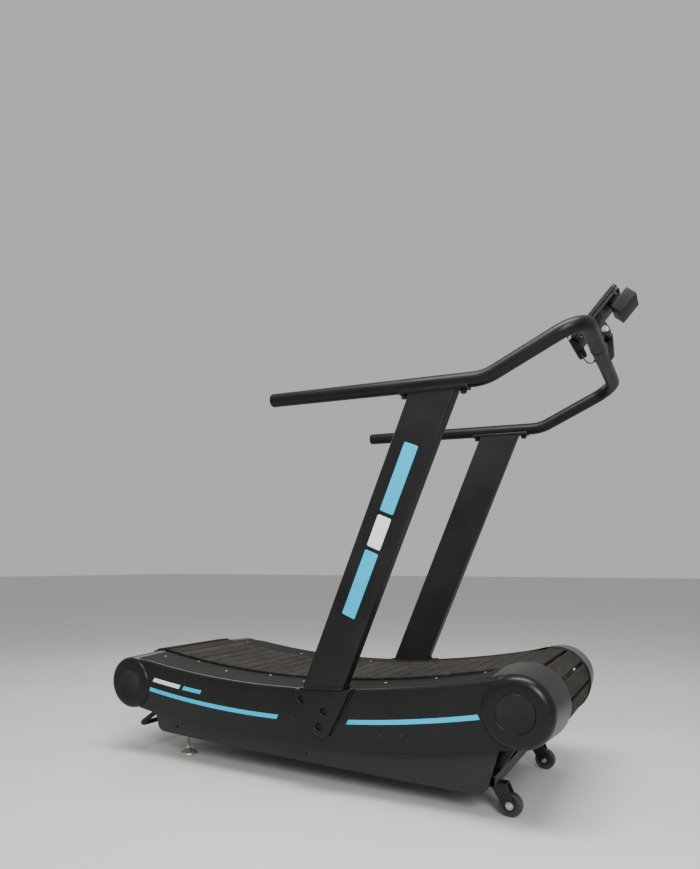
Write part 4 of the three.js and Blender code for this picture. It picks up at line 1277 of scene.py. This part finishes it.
def cable_ties():
    """Two black ties round the cross bar, with their cut tails."""
    rings = []
    for y in (-0.118, -0.104):
        rings.append(lathe([(BAR_RADIUS + 0.0002, y - 0.0018), (BAR_RADIUS + 0.0014, y - 0.0018),
                            (BAR_RADIUS + 0.0014, y + 0.0018), (BAR_RADIUS + 0.0002, y + 0.0018)],
                           (BAR_CORNER.x, 0, BAR_CORNER.z), sides=48))
        rings.append(block((BAR_CORNER.x + 0.010, y - 0.0035, BAR_CORNER.z + 0.0225),
                           (BAR_CORNER.x + 0.017, y + 0.0035, BAR_CORNER.z + 0.0295), 0.0006))
        tail = [Vector((BAR_CORNER.x + 0.012, y, BAR_CORNER.z + 0.028)),
                Vector((BAR_CORNER.x + 0.018, y - 0.004, BAR_CORNER.z + 0.034)),
                Vector((BAR_CORNER.x + 0.027, y - 0.010, BAR_CORNER.z + 0.036)),
                Vector((BAR_CORNER.x + 0.036, y - 0.016, BAR_CORNER.z + 0.033))]
        rings.append(tube(tail, 0.0014, 8))
    made("cable_ties", merged(rings), "frame", "cable_rubber")


console()
bracket()
cable_ties()
cable_grommet()


# ---- Wheels, feet and lift handle ----

WHEEL = middle("wheel_right")


def wheels():
    tyre = [(0.0272, 0.0140), (0.0330, 0.0153)]
    tyre += [(0.0330 + 0.0060 * math.sin(a) ** 0.6, 0.0153 * math.cos(a))
             for a in (math.pi * i / 16 for i in range(17))]
    tyre += [(0.0330, -0.0153), (0.0272, -0.0140)]
    tyre = [(r, y + WHEEL.y) for r, y in tyre]
    hub = [(0.0063, 0.0164), (0.012, 0.0164), (0.0125, 0.015), (0.0128, 0.009), (0.0246, 0.0082),
           (0.0262, 0.0140), (0.0272, 0.0140), (0.0272, -0.0140), (0.0262, -0.0140), (0.0246, -0.0082),
           (0.0128, -0.009),
           (0.0125, -0.015), (0.012, -0.0164), (0.0063, -0.0164)]
    hub = [(r, y + WHEEL.y) for r, y in hub]
    bodies = ("wheel_right", "wheel_left")
    pair("wheel_tyre", lathe(tyre, WHEEL, sides=72), bodies, "wheel_rubber", ["wheel"])
    pair("wheel_hub", lathe(hub, WHEEL, sides=48), bodies, "carrier_rubber")
    outline = [(0.607, 0.1075), (0.659, 0.0300)] + arc((WHEEL.x, WHEEL.z), 0.019, 216, 378, 18)
    outline += [(0.667, 0.1075)]
    half = 0.017
    cheeks = [plate(outline, WHEEL.y - half - 0.004, WHEEL.y - half, [(WHEEL.x, WHEEL.z, 0.0063)], 0.0006),
              plate(outline, WHEEL.y + half, WHEEL.y + half + 0.004, [(WHEEL.x, WHEEL.z, 0.0063)], 0.0006),
              block((0.607, WHEEL.y - half - 0.001, 0.1027), (0.667, WHEEL.y + half + 0.001, 0.1077), 0.0008)]
    plain_pair("wheel_fork", merged(cheeks))
    out = half + 0.004
    bolt = [lathe(rod(0.006, WHEEL.y - out, WHEEL.y + out + 0.012), WHEEL, sides=24),
            hex_head(WHEEL, 0.0102, WHEEL.y - out - 0.001, WHEEL.y - out - 0.007),
            hex_head(WHEEL, 0.0102, WHEEL.y + out + 0.0003, WHEEL.y + out + 0.009),
            lathe(rod(0.0125, WHEEL.y - out, WHEEL.y - out - 0.0012), WHEEL, sides=32)]
    pair("wheel_axle_bolt", merged(bolt), "frame", "zinc_steel", ["wheel_bolt"])


FOOT = middle("level_foot_right")


def thread(radius, low, high, pitch=0.0015):
    profile = []
    z = low
    while z < high:
        profile += [(radius, z), (radius - 0.0007, z + pitch / 2)]
        z += pitch
    return profile


def feet():
    disc = [(0, 0), (0.0415, 0), (0.043, 0.0018), (0.043, 0.0050), (0.0418, 0.0080), (0.037, 0.0120),
            (0.030, 0.0168), (0.022, 0.0206), (0.016, 0.0228), (0.0125, 0.0240), (0.0102, 0.0252),
            (0.0102, 0.0322), (0.0060, 0.0330)]
    disc += thread(0.0060, 0.034, 0.1855) + [(0, 0.186)]
    pair("level_foot_disc", lathe(disc, FOOT, "Z", 48), ("level_foot_right", "level_foot_left"), "dull_zinc",
         ["level_foot"])
    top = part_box("crossmember_rear")[0].z - 0.0003
    nut = [(0.0072, top - 0.010), (0.0092, top - 0.010), (0.0105, top - 0.0088), (0.0105, top - 0.0012),
           (0.0092, top), (0.0072, top)]
    pair("level_lock_nut", lathe(nut, FOOT, "Z", 6), "frame", "dull_zinc", ["level_nut"])


def lift_handle():
    def arm(y):
        return [(Vector((-0.815, y, 0.170)), 0), (Vector((-0.900, y, 0.170)), 0.034),
                (Vector((-1.020, y, 0.088)), 0.034)]

    points = bent_path(arm(-0.249) + arm(0.249)[::-1], 12)
    made("lift_handle_bar", tube(points, 0.011, 32), "frame", "painted_steel",
         ["lift_handle"])


wheels()
feet()
lift_handle()
